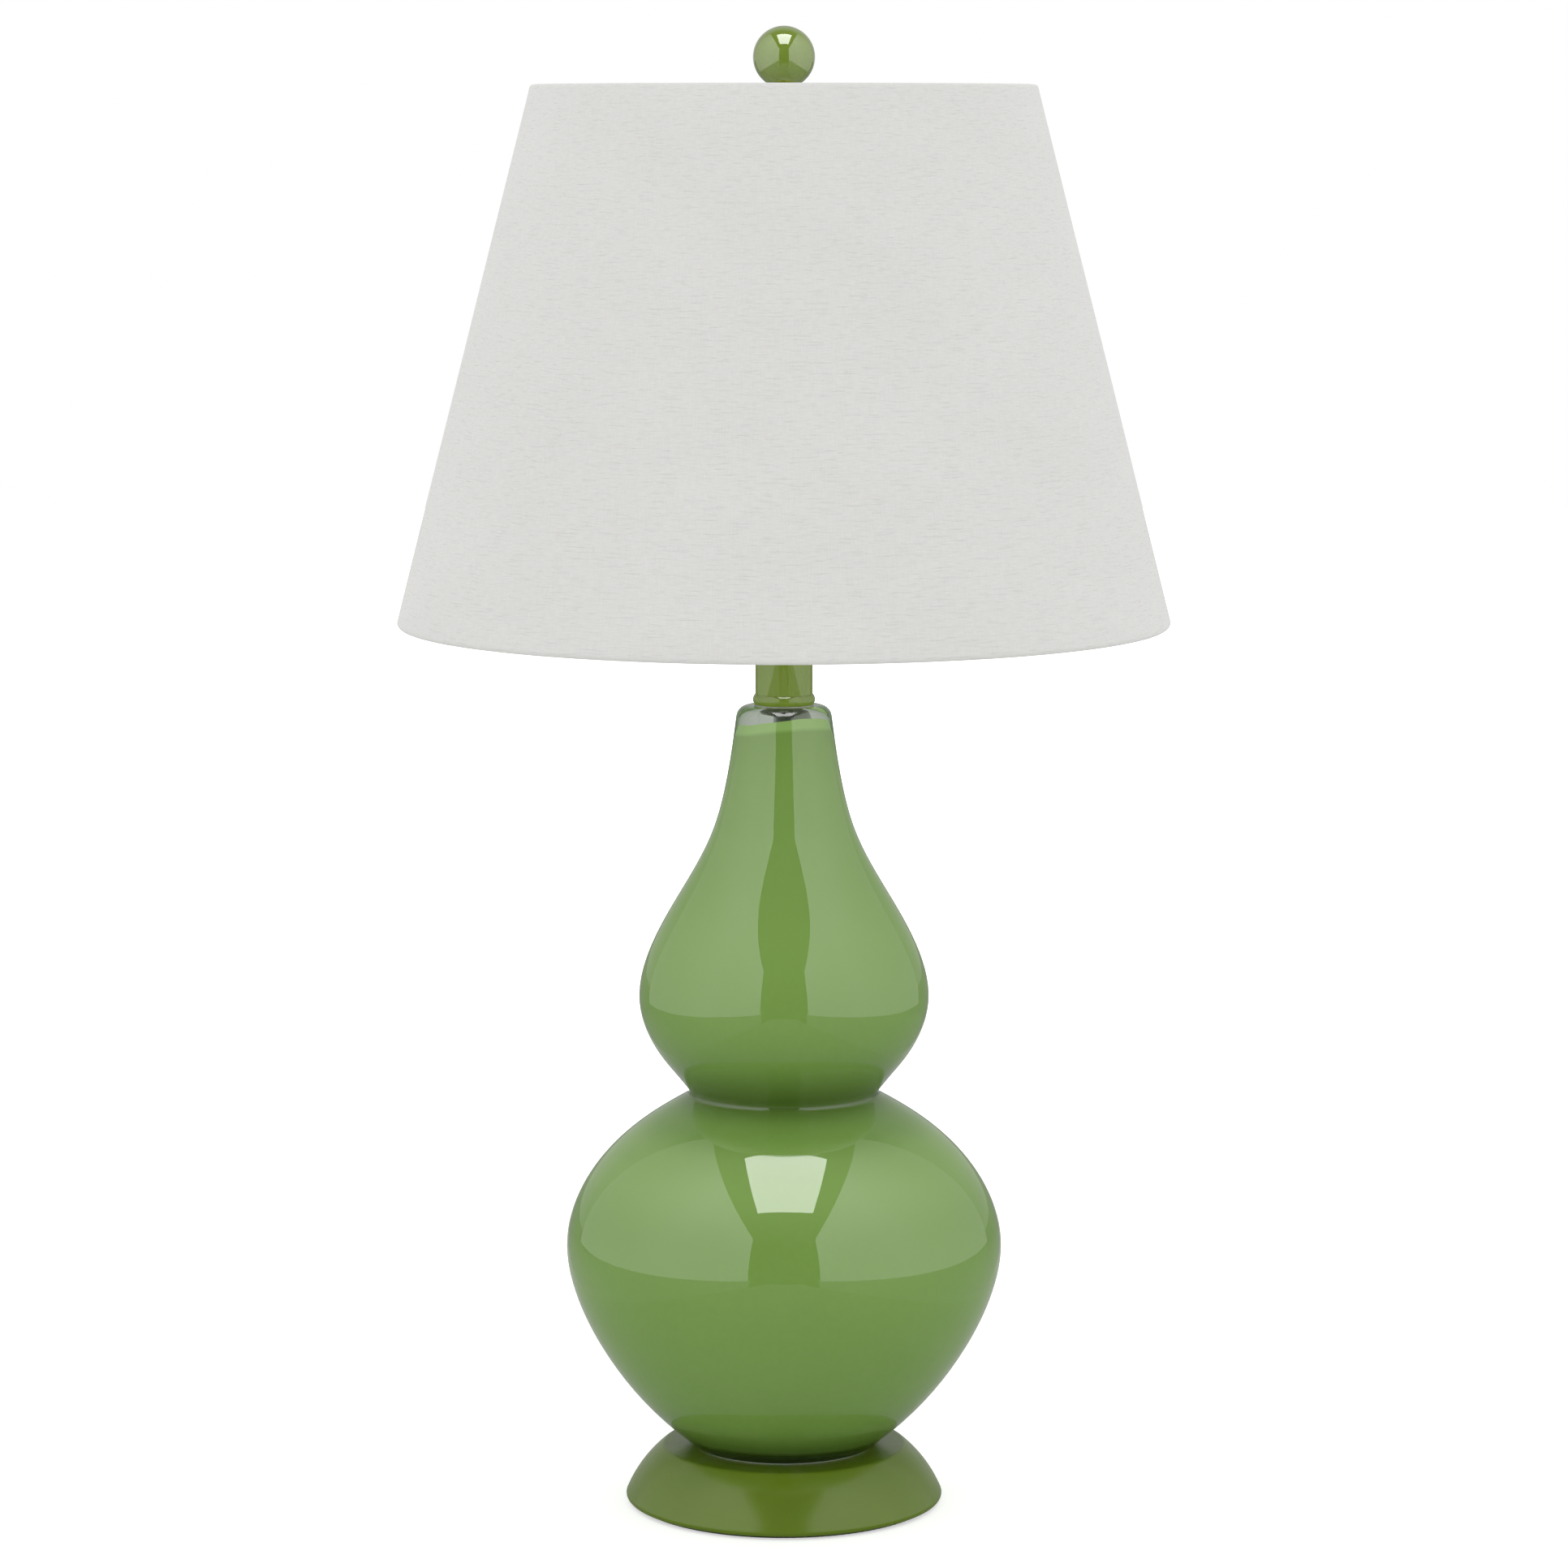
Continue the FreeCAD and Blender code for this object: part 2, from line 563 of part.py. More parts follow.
def harp_sleeve(side):
    """Sleeve that locks a harp leg to its tab, with a finger lip at its foot."""
    sleeve = turned((SLEEVE_BORE_RADIUS, SLEEVE_LEVEL), (SLEEVE_LIP_RADIUS, SLEEVE_LEVEL),
                    (SLEEVE_LIP_RADIUS, SLEEVE_LEVEL + SLEEVE_LIP_HEIGHT),
                    (SLEEVE_RADIUS, SLEEVE_LEVEL + SLEEVE_LIP_HEIGHT),
                    (SLEEVE_RADIUS, SLEEVE_LEVEL + SLEEVE_LENGTH),
                    (SLEEVE_BORE_RADIUS, SLEEVE_LEVEL + SLEEVE_LENGTH))
    sleeve.translate(RIGHT * side * SLEEVE_SPREAD)
    return sleeve


def harp_top_stud():
    """Stud that swivels in the harp's eye: riveted below, shouldered above, with the finial's thread."""
    eye_bottom = HARP_TOP_LEVEL - HARP_EYE_THICKNESS - RUNNING_CLEARANCE
    shoulder = HARP_TOP_LEVEL + RUNNING_CLEARANCE
    rivet_bottom = eye_bottom - STUD_RIVET_THICKNESS
    stud = turned((0, rivet_bottom), (STUD_RIVET_RADIUS, rivet_bottom), (STUD_RIVET_RADIUS, eye_bottom),
                  (STUD_SHANK_RADIUS, eye_bottom), (STUD_SHANK_RADIUS, shoulder),
                  (STUD_SHOULDER_RADIUS, shoulder), (STUD_SHOULDER_RADIUS, WASHER_LEVEL),
                  (STUD_RADIUS, WASHER_LEVEL), (STUD_RADIUS, STUD_TOP_LEVEL), (0, STUD_TOP_LEVEL))
    top_edges = [e for e in stud.Edges
                 if abs(e.BoundBox.ZMin - STUD_TOP_LEVEL) < 0.01 and isinstance(e.Curve, Part.Circle)]
    return stud.makeChamfer(STUD_TOP_CHAMFER, top_edges)


# Finial


def finial_insert():
    """Threaded brass insert with a flange that clamps the shade's washer."""
    flange_top = FINIAL_LEVEL + INSERT_FLANGE_HEIGHT
    return turned((INSERT_BORE_RADIUS, FINIAL_LEVEL), (INSERT_FLANGE_RADIUS, FINIAL_LEVEL),
                  (INSERT_FLANGE_RADIUS, flange_top), (INSERT_RADIUS, flange_top),
                  (INSERT_RADIUS, INSERT_TOP_LEVEL), (INSERT_BORE_RADIUS, INSERT_TOP_LEVEL))


def finial_ball():
    """Ball on a short collar, bored from below for the insert."""
    bottom = FINIAL_LEVEL + INSERT_FLANGE_HEIGHT + RUNNING_CLEARANCE
    ball = Part.makeSphere(FINIAL_RADIUS, Vector(0, 0, FINIAL_CENTRE))
    collar = disc(FINIAL_COLLAR_RADIUS, bottom, FINIAL_CENTRE)
    bore = disc(INSERT_RADIUS + RUNNING_CLEARANCE, bottom - 1, INSERT_TOP_LEVEL + RUNNING_CLEARANCE)
    return ball.fuse(collar).cut(bore)


# Shade


def on_shade(up_slant, inwards):
    """The profile point at a length up the slant and a depth inside the outer skin."""
    lean = (SHADE_TOP_RADIUS - SHADE_BOTTOM_RADIUS) / SHADE_SLANT
    rise = SHADE_HEIGHT / SHADE_SLANT
    return (SHADE_BOTTOM_RADIUS + up_slant * lean - inwards * rise,
            SHADE_BOTTOM_LEVEL + up_slant * rise + inwards * lean)


def hem(rim, way):
    """Edges of one self-rolled rim, where the cloth goes round the ring's wire and back over the liner.

    The rim is a length up the slant, and the way is 1 where the shade lies above it and -1 where it lies below.
    """
    def point(along, depth):
        return on_shade(rim + way * along, depth)

    outside = [arc(point(HEM_RADIUS, 0), point(0, HEM_RADIUS), point(HEM_RADIUS, 2 * HEM_RADIUS))]
    outside += path_through(point(HEM_RADIUS, 2 * HEM_RADIUS), point(FLAP_LEAVES_WIRE, 2 * HEM_RADIUS),
                            point(FLAP_MEETS_LINER, 2 * FABRIC + LINER),
                            point(FLAP_LENGTH, 2 * FABRIC + LINER), point(FLAP_LENGTH, FABRIC + LINER),
                            point(FLAP_MEETS_LINER, FABRIC + LINER),
                            point(FLAP_LEAVES_WIRE, HEM_RADIUS + RING_WIRE_RADIUS),
                            point(HEM_RADIUS, HEM_RADIUS + RING_WIRE_RADIUS))
    round_wire = arc(point(HEM_RADIUS, HEM_RADIUS + RING_WIRE_RADIUS), point(FABRIC, HEM_RADIUS),
                     point(HEM_RADIUS, FABRIC))
    return outside + [round_wire]


def spider_arm(number):
    """Edges of one arm's path: level from the washer, up at the knee and on to the top ring."""
    level = WASHER_LEVEL + WASHER_THICKNESS / 2
    end = on_shade(SHADE_SLANT - HEM_RADIUS, HEM_RADIUS)
    slope = math.atan2(end[1] - level, end[0] - SPIDER_KNEE_RADIUS)
    reach = SPIDER_KNEE_ROUNDING * math.tan(slope / 2)
    knee, at_knee, _ = bend((SPIDER_KNEE_RADIUS - reach, level), 0, slope, SPIDER_KNEE_ROUNDING)
    path = Part.Wire([line((SPIDER_ARM_START, level), (SPIDER_KNEE_RADIUS - reach, level)), knee,
                      line(at_knee, end)])
    path.rotate(ORIGIN, UP, SPIDER_FIRST_AZIMUTH + 360 * number / SPIDER_ARMS)
    return path.Edges


def shade_spider():
    """Washer, three arms and the upper ring, welded into one drop-centre fitter."""
    radius, level = on_shade(SHADE_SLANT - HEM_RADIUS, HEM_RADIUS)
    washer = ring(WASHER_RADIUS, WASHER_BORE_RADIUS, WASHER_LEVEL, FINIAL_LEVEL)
    arms = [wire_along(spider_arm(number), SPIDER_WIRE_RADIUS) for number in range(SPIDER_ARMS)]
    return Part.makeTorus(radius, RING_WIRE_RADIUS, Vector(0, 0, level)).fuse([washer] + arms)


def shade_bottom_ring():
    """Wire ring in the lower rim."""
    radius, level = on_shade(HEM_RADIUS, HEM_RADIUS)
    return Part.makeTorus(radius, RING_WIRE_RADIUS, Vector(0, 0, level))


def shade_fabric():
    """Cloth skin with a self-rolled rim at each end, notched where the arms meet the upper ring."""
    skin = hem(0, 1) + hem(SHADE_SLANT, -1)
    for depth in (0, FABRIC):
        skin.append(line(on_shade(HEM_RADIUS, depth), on_shade(SHADE_SLANT - HEM_RADIUS, depth)))
    cloth = turn(skin)
    for number in range(SPIDER_ARMS):
        cloth = cloth.cut(wire_along(spider_arm(number)[1:], SPIDER_NOTCH_RADIUS))
    return cloth


def shade_liner():
    """Stiff sheet that the cloth is laid on."""
    top = SHADE_SLANT - LINER_MARGIN
    return turned(on_shade(LINER_MARGIN, FABRIC), on_shade(top, FABRIC), on_shade(top, FABRIC + LINER),
                  on_shade(LINER_MARGIN, FABRIC + LINER))


# Socket


def on_socket(radius, height):
    """A profile point at a height above the saddle."""
    return (radius, SOCKET_LEVEL + height)


def forward_rod(radius, start, end):
    """A rod towards the front at the switch's level: its stem, or a hole for it."""
    return rod(radius, start, end, Vector(0, 0, SOCKET_LEVEL + KNOB_LEVEL), FORWARD)


def socket_cap():
    """Cap of the socket: a hub on the pipe that widens into a cup of sheet metal."""
    inner, cup_inside_start = CAP_RADIUS - SHEET_METAL, CUP_START + SHEET_METAL
    cup = arc(on_socket(CAP_HUB_RADIUS, CUP_START), on_socket(*CUP_SIDE), on_socket(CAP_RADIUS, SHELL_BOTTOM))
    cup_inside = arc(on_socket(inner, SHELL_BOTTOM), on_socket(*CUP_SIDE_INSIDE),
                     on_socket(CAP_HUB_RADIUS, cup_inside_start))
    rim = path_through(on_socket(CAP_RADIUS, SHELL_BOTTOM), on_socket(CAP_RADIUS, CAP_TOP),
                       on_socket(inner, CAP_TOP), on_socket(inner, SHELL_BOTTOM))
    hub = path_through(on_socket(CAP_HUB_RADIUS, cup_inside_start), on_socket(CAP_HUB_RADIUS, CAP_HUB_TOP),
                       on_socket(PIPE_RADIUS, CAP_HUB_TOP), on_socket(PIPE_RADIUS, 0),
                       on_socket(CAP_HUB_RADIUS, 0), on_socket(CAP_HUB_RADIUS, CUP_START))
    hole = rod(SET_SCREW_RADIUS, 0, SET_SCREW_END, Vector(0, 0, SOCKET_LEVEL + SET_SCREW_LEVEL), RIGHT)
    return turn([cup, cup_inside] + rim + hub).cut(hole)


def socket_set_screw():
    """Slotted screw through the hub, its point against the pipe."""
    centre = Vector(0, 0, SOCKET_LEVEL + SET_SCREW_LEVEL)
    screw = rod(SET_SCREW_RADIUS, 0, SET_SCREW_END, centre, RIGHT)
    slot = Part.makeBox(SET_SCREW_END, 4 * SET_SCREW_RADIUS, SET_SCREW_SLOT_WIDTH,
                        centre + Vector(SET_SCREW_END - SET_SCREW_SLOT_DEPTH, -2 * SET_SCREW_RADIUS,
                                        -SET_SCREW_SLOT_WIDTH / 2))
    return screw.cut(disc(PIPE_RADIUS, SOCKET_LEVEL, PIPE_TOP_LEVEL)).cut(slot)


def socket_shell():
    """Brass outer shell with a raised bead and a slot for the switch's stem."""
    outer = CAP_RADIUS - SHEET_METAL
    inner = outer - SHEET_METAL
    bead_bottom, bead_top = SHELL_BEAD_LEVEL - SHELL_BEAD_RADIUS, SHELL_BEAD_LEVEL + SHELL_BEAD_RADIUS
    bead = arc(on_socket(outer, bead_bottom), on_socket(outer + SHELL_BEAD_RADIUS, SHELL_BEAD_LEVEL),
               on_socket(outer, bead_top))
    sides = path_through(on_socket(outer, bead_top), on_socket(outer, SHELL_TOP), on_socket(inner, SHELL_TOP),
                         on_socket(inner, SHELL_BOTTOM), on_socket(outer, SHELL_BOTTOM),
                         on_socket(outer, bead_bottom))
    return turn([bead] + sides).cut(forward_rod(STEM_HOLE_RADIUS, BODY_RADIUS, CAP_RADIUS + 1))


def socket_liner():
    """Fibre sleeve between the shell and the live parts."""
    outer = CAP_RADIUS - 2 * SHEET_METAL
    sleeve = turned(on_socket(outer - FIBRE, LINER_BOTTOM), on_socket(outer, LINER_BOTTOM),
                    on_socket(outer, LINER_TOP), on_socket(outer - FIBRE, LINER_TOP))
    return sleeve.cut(forward_rod(STEM_HOLE_RADIUS, BODY_RADIUS, CAP_RADIUS))


def socket_body():
    """Moulded switch body: a flange that centres it in the liner, and a flat at each terminal."""
    flange = CAP_RADIUS - 2 * SHEET_METAL - FIBRE
    body = turned(on_socket(0, LINER_BOTTOM), on_socket(BODY_RADIUS, LINER_BOTTOM),
                  on_socket(BODY_RADIUS, BODY_TOP - BODY_FLANGE), on_socket(flange, BODY_TOP - BODY_FLANGE),
                  on_socket(flange, BODY_TOP), on_socket(0, BODY_TOP))
    for x in (TERMINAL_FLAT, -TERMINAL_FLAT - BODY_RADIUS):
        body = body.cut(Part.makeBox(BODY_RADIUS, 2 * BODY_RADIUS, BODY_TOP - 2 * BODY_FLANGE - LINER_BOTTOM,
                                     Vector(x, -BODY_RADIUS, SOCKET_LEVEL + LINER_BOTTOM + BODY_FLANGE / 2)))
    body = body.cut(terminal_shanks())
    return body.cut(forward_rod(STEM_RADIUS + RUNNING_CLEARANCE, STEM_DEPTH - STEM_SEAT_PLAY, 2 * BODY_RADIUS))


def terminal_shanks():
    """The part of each terminal screw that is in the body."""
    centre = Vector(0, 0, SOCKET_LEVEL + TERMINAL_LEVEL)
    start = TERMINAL_FLAT - TERMINAL_SHANK_DEPTH
    return Part.makeCompound([rod(TERMINAL_SHANK_RADIUS, start, TERMINAL_FLAT, centre, RIGHT * side)
                              for side in (1, -1)])


def terminal_screws():
    """The two wire screws, one on each flat of the body."""
    centre = Vector(0, 0, SOCKET_LEVEL + TERMINAL_LEVEL)
    end = TERMINAL_FLAT + TERMINAL_HEAD_THICKNESS
    screws = []
    for side, shank in zip((1, -1), terminal_shanks().Solids):
        head = rod(TERMINAL_HEAD_RADIUS, TERMINAL_FLAT, end, centre, RIGHT * side)
        slot = Part.makeBox(2 * TERMINAL_SLOT_DEPTH, 2 * TERMINAL_HEAD_RADIUS, TERMINAL_SLOT_WIDTH,
                            centre + Vector(side * end - TERMINAL_SLOT_DEPTH, -TERMINAL_HEAD_RADIUS,
                                            -TERMINAL_SLOT_WIDTH / 2))
        screws.append(head.cut(slot).fuse(shank))
    return Part.makeCompound(screws)


def socket_screw_shell():
    """Thin shell that takes the bulb's cap."""
    return ring(SCREW_SHELL_RADIUS, SCREW_SHELL_BORE_RADIUS, SOCKET_LEVEL + BODY_TOP, SOCKET_LEVEL + SCREW_SHELL_TOP)


def socket_centre_contact():
    """Sprung tongue: a foot on the body, a ramp and the pad under the bulb's tip."""
    foot_top = BODY_TOP + CONTACT_THICKNESS
    upper = [(CONTACT_FOOT_END, foot_top), (CONTACT_RAMP_FOOT, foot_top),
             (CONTACT_PAD_END, CONTACT_TOP), (-CONTACT_PAD_END, CONTACT_TOP)]
    lower = [(radius, height - CONTACT_THICKNESS) for radius, height in reversed(upper)]
    strip = [on_socket(*point) for point in upper + lower]
    face = Part.Face(Part.Wire(path_through(*strip, strip[0])))
    face.translate(FORWARD * (-CONTACT_WIDTH / 2))
    return face.extrude(FORWARD * CONTACT_WIDTH)


def switch_stem():
    """Stem from the switch body into the knob."""
    return forward_rod(STEM_RADIUS, STEM_DEPTH, STEM_END)


def switch_knob():
    """Fluted knob, a little wider at its domed end, bored for the stem."""
    far = KNOB_NEAR + KNOB_LENGTH
    side_end = (KNOB_FAR_RADIUS, far - KNOB_DOME_START)
    dome_side = (KNOB_FAR_RADIUS - KNOB_DOME_SIDE[0], far - KNOB_DOME_SIDE[1])
    dome_end = (KNOB_FAR_RADIUS - KNOB_DOME_INSET, far)
    profile = path_through((0, KNOB_NEAR), (KNOB_NEAR_RADIUS, KNOB_NEAR), side_end)
    profile += [arc(side_end, dome_side, dome_end)] + path_through(dome_end, (0, far), (0, KNOB_NEAR))
    knob = turn(profile)
    flutes = []
    reach = KNOB_FAR_RADIUS + KNOB_FLUTE_RADIUS - KNOB_FLUTE_DEPTH
    for i in range(KNOB_FLUTES):
        angle = 2 * math.pi * i / KNOB_FLUTES
        centre = Vector(math.cos(angle), math.sin(angle), 0) * reach
        flutes.append(rod(KNOB_FLUTE_RADIUS, KNOB_NEAR - 1, far + 1, centre, UP))
    knob = knob.cut(flutes)
    knob.rotate(ORIGIN, RIGHT, 90)
    knob.translate(UP * (SOCKET_LEVEL + KNOB_LEVEL))
    return knob.cut(switch_stem())


# Bulb


def on_bulb(radius, height):
    """A profile point at a height above the bulb's tip."""
    return (radius, BULB_TIP_LEVEL + height)


def bulb_contact():
    """Contact at the bulb's tip."""
    tip = turned(on_bulb(0, 0), on_bulb(BULB_TIP_RADIUS, 0), on_bulb(BULB_TIP_RADIUS, BULB_TIP_HEIGHT),
                 on_bulb(0, BULB_TIP_HEIGHT))
    return rounded(tip, [(on_bulb(BULB_TIP_RADIUS, 0), BULB_TIP_ROUNDING)])


def bulb_insulator():
    """Glass cone between the tip and the screw cap."""
    return turned(on_bulb(0, BULB_TIP_HEIGHT), on_bulb(BULB_INSULATOR_TIP_RADIUS, BULB_TIP_HEIGHT),
                  on_bulb(BULB_INSULATOR_RADIUS, BULB_INSULATOR_HEIGHT), on_bulb(0, BULB_INSULATOR_HEIGHT))


def bulb_cap():
    """Screw cap, closed, with its foot turned in."""
    return turned(on_bulb(0, BULB_INSULATOR_HEIGHT), on_bulb(BULB_CAP_FOOT_RADIUS, BULB_INSULATOR_HEIGHT),
                  on_bulb(BULB_CAP_RADIUS, BULB_INSULATOR_HEIGHT + BULB_CAP_FOOT_HEIGHT),
                  on_bulb(BULB_CAP_RADIUS, BULB_CAP_HEIGHT), on_bulb(0, BULB_CAP_HEIGHT))


def bulb_glass():
    """Pear-shaped envelope: a flaring neck that runs into a half sphere."""
    equator = BULB_LENGTH - BULB_RADIUS

    def envelope(wall):
        radius = BULB_RADIUS - wall
        sides = [(BULB_NECK_RADIUS, BULB_CAP_HEIGHT)] + BULB_FLARE + [(BULB_RADIUS, equator)]
        neck = Part.BSplineCurve()
        neck.interpolate(Points=[at(on_bulb(side - wall, height)) for side, height in sides],
                         InitialTangent=UP, FinalTangent=UP)
        diagonal = radius * math.sqrt(0.5)
        dome = arc(on_bulb(radius, equator), on_bulb(diagonal, equator + diagonal), on_bulb(0, equator + radius))
        axis = path_through(on_bulb(0, equator + radius), on_bulb(0, BULB_CAP_HEIGHT),
                            on_bulb(BULB_NECK_RADIUS - wall, BULB_CAP_HEIGHT))
        return turn([neck.toShape(), dome] + axis)

    return envelope(0).cut(envelope(BULB_WALL))


PIECES = [bottom_felt, bottom_board, base_foot, base_weight, cord_bushing, flat_washer, lock_washer,
          pipe_nut_lower, lamp_pipe, glass_gasket, glass_gourd, mouth_bushing, neck_ring, neck_tube, neck_cap,
          pipe_nut_upper, harp_saddle, harp_wire, harp_top_stud, finial_insert, finial_ball, shade_fabric,
          shade_liner, shade_spider, shade_bottom_ring, socket_cap, socket_set_screw, socket_shell, socket_liner,
          socket_body, terminal_screws, socket_screw_shell, socket_centre_contact, switch_stem, switch_knob,
          bulb_contact, bulb_insulator, bulb_cap, bulb_glass]


def main():
    """Makes every piece and writes it to its own file."""
    os.makedirs("parts", exist_ok=True)
    shapes = {piece.__name__: piece() for piece in PIECES}
    shapes["harp_sleeve_right"] = harp_sleeve(1)
    shapes["harp_sleeve_left"] = harp_sleeve(-1)
    for name, shape in shapes.items():
        shape.exportStep("parts/%s.step" % name)
    print("%d pieces" % len(shapes))


main()
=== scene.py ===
"""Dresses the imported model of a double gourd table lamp: fine meshes, finishes, studio light and camera.

Metres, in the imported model's own frame: the origin is on the table under the lamp's axis, +Z is up and the
front looks towards -Y. Each sub-assembly is a class that models or carries over its pieces and dresses them.
"""

import json
import logging
import math
from dataclasses import dataclass
from enum import Enum
from functools import wraps
from typing import Callable, Sequence

import bpy
import numpy as np
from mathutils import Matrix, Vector, noise

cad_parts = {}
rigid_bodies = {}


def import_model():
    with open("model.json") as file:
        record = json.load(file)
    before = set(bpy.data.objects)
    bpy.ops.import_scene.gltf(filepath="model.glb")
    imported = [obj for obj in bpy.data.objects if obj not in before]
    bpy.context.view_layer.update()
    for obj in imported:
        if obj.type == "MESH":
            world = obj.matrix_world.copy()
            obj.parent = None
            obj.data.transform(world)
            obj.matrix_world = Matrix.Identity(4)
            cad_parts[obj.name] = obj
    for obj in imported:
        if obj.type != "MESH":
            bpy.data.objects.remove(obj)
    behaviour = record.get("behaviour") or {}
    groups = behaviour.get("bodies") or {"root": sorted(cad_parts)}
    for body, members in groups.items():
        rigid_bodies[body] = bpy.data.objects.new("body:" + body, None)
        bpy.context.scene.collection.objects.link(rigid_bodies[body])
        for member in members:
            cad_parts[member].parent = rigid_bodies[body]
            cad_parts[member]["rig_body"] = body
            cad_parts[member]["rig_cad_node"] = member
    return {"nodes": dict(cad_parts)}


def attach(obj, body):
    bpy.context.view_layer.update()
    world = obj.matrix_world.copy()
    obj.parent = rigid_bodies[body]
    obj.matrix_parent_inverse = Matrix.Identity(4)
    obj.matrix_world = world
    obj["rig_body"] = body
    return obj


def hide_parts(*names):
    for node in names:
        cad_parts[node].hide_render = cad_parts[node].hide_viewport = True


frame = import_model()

log = logging.getLogger("gourd_lamp")

Point = tuple[float, float]
Outline = list[Vector]
Piece = bpy.types.Object
Colour = tuple[float, float, float]
Place = tuple[float, float, float]
Output = bpy.types.NodeSocket
Tree = bpy.types.NodeTree

WHITE = (1, 1, 1, 1)
COLOUR, VALUE = "NodeSocketColor", "NodeSocketFloat"
DULLER = 0.86
MERGE = 2e-6
NEAR_WALL = 0.001
FULL_TURN = 2 * math.pi
SMOOTH_ANGLE = math.radians(32)
REAR = math.pi / 2


# Outlines: points (radius, level) in the plane of the lamp's axis


def corners(*points: Point) -> Outline:
    """Draws an outline of straight sides."""
    return [Vector(p) for p in points]


def through(points: Sequence[Point], per_span: int = 7) -> Outline:
    """Draws a smooth line through points, as a sprung rule lies.

    Args:
        points: places (radius, level) that the line passes.
        per_span: steps between two of them.

    Returns:
        The line's points, both ends included.
    """
    knots = np.array(points)
    spans = np.linalg.norm(np.diff(knots, axis=0), axis=1)
    system, pull = np.eye(len(knots)), np.zeros((len(knots), 2))
    for i in range(1, len(knots) - 1):
        system[i, i - 1:i + 2] = spans[i - 1], 2 * (spans[i - 1] + spans[i]), spans[i]
        pull[i] = 6 * ((knots[i + 1] - knots[i]) / spans[i] - (knots[i] - knots[i - 1]) / spans[i - 1])
    bends = np.linalg.solve(system, pull)
    drawn = []
    for i, span in enumerate(spans):
        for b in np.arange(per_span) / per_span:
            a = 1 - b
            sag = span ** 2 / 6 * ((a ** 3 - a) * bends[i] + (b ** 3 - b) * bends[i + 1])
            drawn.append(Vector(a * knots[i] + b * knots[i + 1] + sag))
    return drawn + [Vector(knots[-1])]


def arc(start: Point, middle: Point, end: Point, steps: int = 8) -> Outline:
    """Draws a circular arc through three points.

    Args:
        start: first point.
        middle: a point on the way.
        end: last point.
        steps: sides that the arc is drawn with.

    Returns:
        The arc's points, both ends included.
    """
    a, b, c = Vector(start), Vector(middle), Vector(end)
    system = np.array([(b - a)[:], (c - a)[:]]) * 2
    centre = Vector(np.linalg.solve(system, [b.dot(b) - a.dot(a), c.dot(c) - a.dot(a)]))
    half, radius = steps // 2, (a - centre).length
    first, halfway, last = a - centre, b - centre, c - centre
    near = [first.slerp(halfway, i / half) for i in range(half)]
    far = [halfway.slerp(last, i / half) for i in range(half + 1)]
    return [centre + p * radius for p in near + far]


def rounded(outline: Outline, corner: Point, radius: float, steps: int = 6) -> Outline:
    """Rounds one corner of an outline.

    Args:
        outline: the line with the corner.
        corner: where the corner is.
        radius: the rounding's radius.
        steps: sides of the rounding.

    Returns:
        The outline with the rounding in place of the corner.
    """
    at = min(range(len(outline)), key=lambda i: (outline[i] - Vector(corner)).length)
    tip = outline[at]
    back, ahead = (outline[at - 1] - tip).normalized(), (outline[at + 1] - tip).normalized()
    half = back.angle(ahead) / 2
    reach = radius / math.tan(half)
    centre = tip + (back + ahead).normalized() * radius / math.sin(half)
    first, last = tip + back * reach - centre, tip + ahead * reach - centre
    curve = [centre + first.slerp(last, i / steps) * radius for i in range(steps + 1)]
    before = [p for p in outline[:at] if (p - tip).length > reach]
    return before + curve + [p for p in outline[at + 1:] if (p - tip).length > reach]


def inset(outline: Outline, depth: float) -> Outline:
    """Draws the line that lies inside another one.

    Args:
        outline: the other line, running upwards.
        depth: how far inside.

    Returns:
        The line without the two end points.
    """
    drawn = []
    for before, here, after in zip(outline, outline[1:], outline[2:]):
        along = (after - before).normalized()
        drawn.append(here + Vector((-along.y, along.x)) * depth)
    return drawn


# Bench: Blender's modelling operators, used on one piece at a time


def deselect() -> None:
    """Leaves nothing selected."""
    bpy.ops.object.select_all(action="DESELECT")


def take(piece: Piece) -> None:
    """Puts one piece alone on the bench."""
    deselect()
    piece.select_set(True)
    bpy.context.view_layer.objects.active = piece


def settle(piece: Piece, name: str) -> Piece:
    """Names a piece, applies its place and smooths its round faces.

    Args:
        piece: the mesh as it was made.
        name: its name from now on.

    Returns:
        The piece.
    """
    take(piece)
    bpy.ops.object.transform_apply(location=True, rotation=True, scale=True)
    bpy.ops.object.shade_smooth_by_angle(angle=SMOOTH_ANGLE)
    piece.name = piece.data.name = name
    return piece


def turned(name: str, outline: Outline, steps: int = 96) -> Piece:
    """Turns a piece: a vertex is drawn along the outline, then spun about the lamp's axis.

    Args:
        name: the new piece's name.
        outline: its half section, closed where the first point comes again or both ends are on the axis.
        steps: faces round the axis.

    Returns:
        The turned piece.
    """
    deselect()
    start = outline[0]
    bpy.ops.mesh.primitive_plane_add(size=0.001, location=(start.x, 0, start.y))
    piece = bpy.context.object
    bpy.ops.object.mode_set(mode="EDIT")
    bpy.ops.mesh.select_all(action="SELECT")
    bpy.ops.mesh.merge(type="CENTER")
    for here, after in zip(outline, outline[1:]):
        step = after - here
        bpy.ops.mesh.extrude_vertices_move(TRANSFORM_OT_translate={"value": (step.x, 0, step.y)})
    bpy.ops.mesh.select_all(action="SELECT")
    bpy.ops.mesh.spin(steps=steps, angle=FULL_TURN, center=(0, 0, 0), axis=(0, 0, 1))
    bpy.ops.mesh.select_all(action="SELECT")
    bpy.ops.mesh.remove_doubles(threshold=MERGE)
    bpy.ops.mesh.normals_make_consistent(inside=False)
    bpy.ops.object.mode_set(mode="OBJECT")
    return settle(piece, name)


